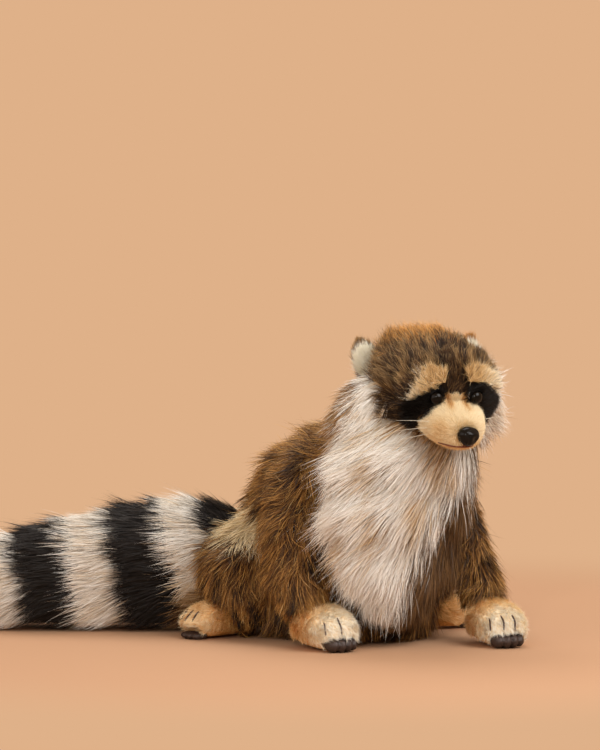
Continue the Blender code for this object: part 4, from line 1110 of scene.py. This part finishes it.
def grainMaterial(name, stops, cells, rough, depth):
    # a surface of small cells, so many to the metre and so deep, coarse enough to show here
    made, tree, shader = newMaterial(name)
    coords = add(tree, "ShaderNodeTexCoord")
    grain = add(tree, "ShaderNodeTexVoronoi", {"Scale": cells},
                {"Vector": coords.outputs["Object"]})
    ramp = add(tree, "ShaderNodeValToRGB", {"stops": stops}, {"Fac": grain.outputs["Distance"]})
    bump = add(tree, "ShaderNodeBump", {"Strength": 0.5, "Distance": depth},
               {"Height": grain.outputs["Distance"]})
    tree.links.new(ramp.outputs[0], shader.inputs["Base Color"])
    tree.links.new(bump.outputs[0], shader.inputs["Normal"])
    shader.inputs["Roughness"].default_value = rough
    return made


# tanned leather, dyed and embossed: satin, with a grain of 1.1 mm, about twice the real one
padLeather = grainMaterial(
    "grained_leather_pad", [(0.0, "#4A3730"), (0.6, "#2E211D"), (1.0, "#1D1513")],
    900.0, 0.5, 0.0003)
# plain cotton weave: dull, with threads of 1.4 mm where real ones are about 0.5 mm
seatCloth = grainMaterial(
    "woven_seat_cloth", [(0.0, "#6B5238"), (1.0, "#3C2C1D")], 700.0, 0.85, 0.0003)
# moulded polypropylene: milky and waxy, with flow marks 3 mm apart
washerPlastic = grainMaterial(
    "moulded_washer_plastic", [(0.0, "#E8E6E0"), (1.0, "#CFCCC4")], 300.0, 0.45, 0.0001)
# twisted polyester thread, dark on the toes and rust at the mouth: a turn every 0.7 mm
stitchThread = grainMaterial(
    "polyester_thread", [(0.0, "#4A2C1C"), (1.0, "#2A1A12")], 1500.0, 0.7, 0.0001)
mouthThread = grainMaterial(
    "polyester_thread_rust", [(0.0, "#7A3A22"), (1.0, "#4F2415")], 1500.0, 0.7, 0.0001)
# drawn nylon line: smooth and pale, with slight changes of tone every 2.5 mm
whiskerNylon = grainMaterial(
    "nylon_monofilament", [(0.0, "#F1EAD9"), (1.0, "#CFC3A8")], 400.0, 0.3, 0.00001)

for name in nodes:
    if "washer" in name:
        nodes[name].data.materials.clear()
        nodes[name].data.materials.append(washerPlastic)


def rounded(name, source, levels):
    # the moulded or sewn shape with its facets rounded off
    shape = joined([source])
    bmesh.ops.remove_doubles(shape, verts=shape.verts, dist=sameSpot)
    piece = newPiece(name, toMesh(name, shape))
    rounding = piece.modifiers.new("rounding", "SUBSURF")
    rounding.levels = rounding.render_levels = levels
    smooth = bpy.data.meshes.new_from_object(
        piece.evaluated_get(bpy.context.evaluated_depsgraph_get()))
    piece.modifiers.clear()
    piece.data = smooth
    smooth.polygons.foreach_set("use_smooth", [True] * len(smooth.polygons))
    smooth.materials.clear()
    return piece


padLook = {"seams": (-0.42, 0.05, 0.50), "pinch": 0.34, "wide": 0.10,
           "hindHigh": 0.55, "hindBack": 0.004}
for pawName, paw in paws.items():
    padName = pawName.replace("paw", "pad")
    pad = rounded("leather_" + padName, padName, 2)
    points = np.array([v.co for v in pad.data.vertices])
    middle = (points.max(0) + points.min(0)) / 2
    across = (points - middle) @ paw["across"]
    part = across / np.abs(across).max()
    pinch = sum(np.exp(-((part - seam) / padLook["wide"]) ** 2) for seam in padLook["seams"])
    line = middle + across[:, None] * paw["across"]
    points += (line - points) * (padLook["pinch"] * np.minimum(pinch, 1))[:, None]
    if pawName.startswith("hind"):
        points[:, 2] *= padLook["hindHigh"]
        points -= paw["ahead"] * padLook["hindBack"]
    points[:, 2] = np.maximum(points[:, 2], 0.0002)
    for vertex, point in zip(pad.data.vertices, points):
        vertex.co = point
    pad.data.materials.append(padLeather)
    place(pad, "pad_leather", [padName])

seat = rounded("seatClosing", "seat_panel", 2)
seat.data.materials.append(seatCloth)
place(seat, "seat_fabric", ["seat_panel"], stuffed=0.1)


def fineThread(name, points, depth, radii, rounds, steps, look):
    # a round thread through the points, with its share of the depth at each
    line = bpy.data.curves.new(name, "CURVE")
    line.dimensions = "3D"
    line.bevel_depth = depth
    line.bevel_resolution, line.resolution_u = rounds, steps
    line.use_fill_caps = True
    spline = line.splines.new("NURBS")
    spline.points.add(len(points) - 1)
    for knot, point, radius in zip(spline.points, points, radii):
        knot.co = (*point, 1.0)
        knot.radius = radius
    spline.use_endpoint_u = True
    spline.order_u = 4
    line.materials.append(look)
    return newPiece(name, line)


whiskerLook = {"root": 0.00026, "tip": 0.00006}
for name in [name for name in nodes if name.startswith("whisker")]:
    points = np.array([v.co for v in nodes[name].data.vertices])
    points = points[np.argsort(apart(points, nodeCentre("muzzle")))]
    rings = [part.mean(0) for part in np.array_split(points, 4)]
    radii = [whiskerLook["root"] + (whiskerLook["tip"] - whiskerLook["root"]) * k / 3
             for k in range(4)]
    place(fineThread("hair_" + name, rings, 1.0, radii, 2, 12, whiskerNylon),
          "whisker_monofilament", [name])


def turned(name, profile, seat, axis, look, slotName, replaced):
    # a profile of (radius, height) turned round the axis of the shank
    shape = bmesh.new()
    ring = [shape.verts.new((x, 0.0, z)) for x, z in profile]
    for a, b in zip(ring[:-1], ring[1:]):
        shape.edges.new((a, b))
    bmesh.ops.spin(shape, geom=shape.verts[:] + shape.edges[:], cent=(0, 0, 0), axis=(0, 0, 1),
                   angle=math.tau, steps=40, use_merge=True)
    bmesh.ops.remove_doubles(shape, verts=shape.verts, dist=0.00001)
    bmesh.ops.recalc_face_normals(shape, faces=shape.faces)
    turn = Vector(axis).to_track_quat("Z", "Y").to_matrix().to_4x4()
    bmesh.ops.transform(shape, matrix=turn, verts=shape.verts)
    bmesh.ops.translate(shape, vec=Vector(seat), verts=shape.verts)
    mesh = toMesh(name, shape)
    mesh.polygons.foreach_set("use_smooth", [True] * len(mesh.polygons))
    mesh.materials.append(look)
    place(newPiece(name, mesh), slotName, replaced)


for name, (seat, axis) in eyeSeats.items():
    dome = [(0.0, eyeLook["rise"])]
    for k in range(1, 13):
        angle = math.radians(90 - 7.2 * k)
        dome.append((math.cos(angle) * eyeLook["radius"], math.sin(angle) * eyeLook["rise"]))
    stem, end = eyeLook["stem"], eyeLook["stemEnd"]
    dome += [(0.0066, -0.0006), (stem, -0.0010), (stem, end), (0.0, end)]
    turned("eyeDome_" + name, dome, seat, axis, eyeAcrylic, "gloss_black", ["eye_" + name])
    edge, hole, top, end = (eyeLook[key] for key in ("washer", "hole", "washerTop", "washerEnd"))
    washer = [(hole, top), (edge - 0.0004, top), (edge, top - 0.0004), (edge, end + 0.0004),
              (hole, end), (hole, top)]
    turned("lockWasher_" + name, washer, seat, axis, washerPlastic, "washer_plastic",
           ["eye_washer_" + name])

# the nose is the moulded shape smoothed, with two nostrils and a groove pressed in
noseLook = {"nostril": 0.0030, "depth": 0.0022, "apart": 0.0062, "low": 0.0022, "groove": 0.0009,
            "grooveWide": 0.0007, "grooveTop": 0.002, "side": 0.0020, "down": 0.0024,
            "grow": 1.12}
noseShape = rounded("noseShape", "nose", 3)
finished = noseShape.data
for vertex in finished.vertices:
    local = np.array(vertex.co) - noseCentre
    ahead = local @ headAhead
    if ahead > 0.0:
        for hand in (-1, 1):
            hole = np.array((local @ headSide - hand * noseLook["apart"],
                             local @ headUp + noseLook["low"]))
            deep = math.exp(-(hole @ hole) / noseLook["nostril"] ** 2)
            vertex.co -= Vector(headAhead * noseLook["depth"] * deep)
        if local @ headUp < noseLook["grooveTop"]:
            line = math.exp(-(local @ headSide / noseLook["grooveWide"]) ** 2)
            vertex.co -= Vector(headAhead * noseLook["groove"] * line)
    local = (np.array(vertex.co) - noseCentre) * noseLook["grow"]
    vertex.co = noseCentre + local + headSide * noseLook["side"] - headUp * noseLook["down"]
finished.materials.append(noseAcrylic)
place(noseShape, "gloss_black", ["nose"])
print("eyes and nose in")


def sewLine(name, points, thick, look, slotName):
    radii = [0.55] + [1.0] * (len(points) - 2) + [0.55]
    place(fineThread(name, points, thick / 2, radii, 3, 6, look), slotName)


sewLine("mouthStitch", mouthPoints, mouthLook["thread"], mouthThread, "muzzle_pile")
sewLine("lipStitch", lipPoints, mouthLook["thread"], mouthThread, "muzzle_pile")
for name in paws:
    for k, line in enumerate(stitches[name]):
        if len(line) > 3:
            sewLine("toeStitch_%s_%d" % (name, k + 1), line, toeLook["thread"], stitchThread,
                    "cream_pile")
print("stitches in")


# floor, light and camera

backdropColour = "#DFB189"
floorColour = "#BC9170"
shape = bmesh.new()
bmesh.ops.create_circle(shape, cap_ends=True, segments=96, radius=9.0)
mesh = toMesh("paperFloor", shape)
newPiece("paperFloor", mesh)
paper, tree, shader = newMaterial("backdrop_paper")   # matt seamless paper
shader.inputs["Base Color"].default_value = toLinear(floorColour)
shader.inputs["Roughness"].default_value = 0.9
shader.inputs["Specular IOR Level"].default_value = 0.1
coords = add(tree, "ShaderNodeTexCoord")
far = add(tree, "ShaderNodeVectorMath", {"operation": "LENGTH"}, {0: coords.outputs["Object"]})
fade = add(tree, "ShaderNodeMapRange", {"From Min": 0.42, "From Max": 0.80,
                                        "interpolation_type": "SMOOTHSTEP"},
           {"Value": far.outputs["Value"]})
glow = add(tree, "ShaderNodeEmission", {"Color": toLinear(backdropColour), "Strength": 1.0})
both = add(tree, "ShaderNodeMixShader", {},
           {0: fade.outputs[0], 1: shader.outputs[0], 2: glow.outputs[0]})
tree.links.new(both.outputs[0], tree.nodes["Material Output"].inputs["Surface"])
mesh.materials.append(paper)

world = bpy.data.worlds.new("studio")
bpy.context.scene.world = world
world.use_nodes = True
tree = world.node_tree
output = tree.nodes["World Output"]
soft = tree.nodes["Background"]
soft.inputs["Color"].default_value = toLinear("#FBF0E2")
soft.inputs["Strength"].default_value = 0.56
seen = add(tree, "ShaderNodeBackground", {"Color": toLinear(backdropColour), "Strength": 1.0})
path = add(tree, "ShaderNodeLightPath")
seenToo = add(tree, "ShaderNodeMath", {"operation": "MAXIMUM"},
              {0: path.outputs["Is Camera Ray"], 1: path.outputs["Is Glossy Ray"]})
seenAll = add(tree, "ShaderNodeMath", {"operation": "MAXIMUM"},
              {0: seenToo.outputs[0], 1: path.outputs["Is Transmission Ray"]})
both = add(tree, "ShaderNodeMixShader", {},
           {0: seenAll.outputs[0], 1: soft.outputs[0], 2: seen.outputs[0]})
tree.links.new(both.outputs[0], output.inputs["Surface"])

turn, tilt = math.radians(-35.0), math.radians(5.5)
right = Vector((math.cos(turn), math.sin(turn), 0.0))
back = Vector((math.sin(turn) * math.cos(tilt), -math.cos(turn) * math.cos(tilt), math.sin(tilt)))
above = back.cross(right)
centre = right * (-0.045) + above * 0.2596      # what lies in the middle of the photograph

lamps = {
    # name: place along the photo's right, towards the camera, up; size; watts
    "keyWindow": (1.2, 1.2, 1.5, 1.5, 38.0),
    "catchLight": (-0.25, 2.0, 0.8, 0.10, 7.0),
    "fillSheet": (-1.4, 1.2, 0.8, 1.4, 7.0),
    "topSheet": (-0.1, -0.6, 1.7, 1.2, 16.0),
}
for name, (across, ahead, high, size, power) in lamps.items():
    light = bpy.data.lights.new(name, "AREA")
    light.shape, light.size, light.energy = "SQUARE", size, power
    lamp = newPiece(name, light)
    lamp.location = right * across + Vector((back.x, back.y, 0)) * ahead + Vector((0, 0, high))
    lamp.rotation_euler = (Vector((0, 0, 0.14)) - lamp.location).to_track_quat("-Z", "Y").to_euler()

camera = bpy.data.cameras.new("photoCamera")
stand = 14.0      # far back with a long lens, as flat as the photograph
camera.sensor_fit = "AUTO"
camera.sensor_width = 24.0
camera.lens = 24.0 * stand / 0.75      # the picture is 0.75 m high at the toy
camera.clip_end = 60.0
photoCamera = newPiece("photoCamera", camera)
photoCamera.location = centre + back * stand
photoCamera.rotation_euler = back.to_track_quat("Z", "Y").to_euler()
bpy.context.scene.camera = photoCamera
bpy.context.scene.view_settings.view_transform = "Standard"
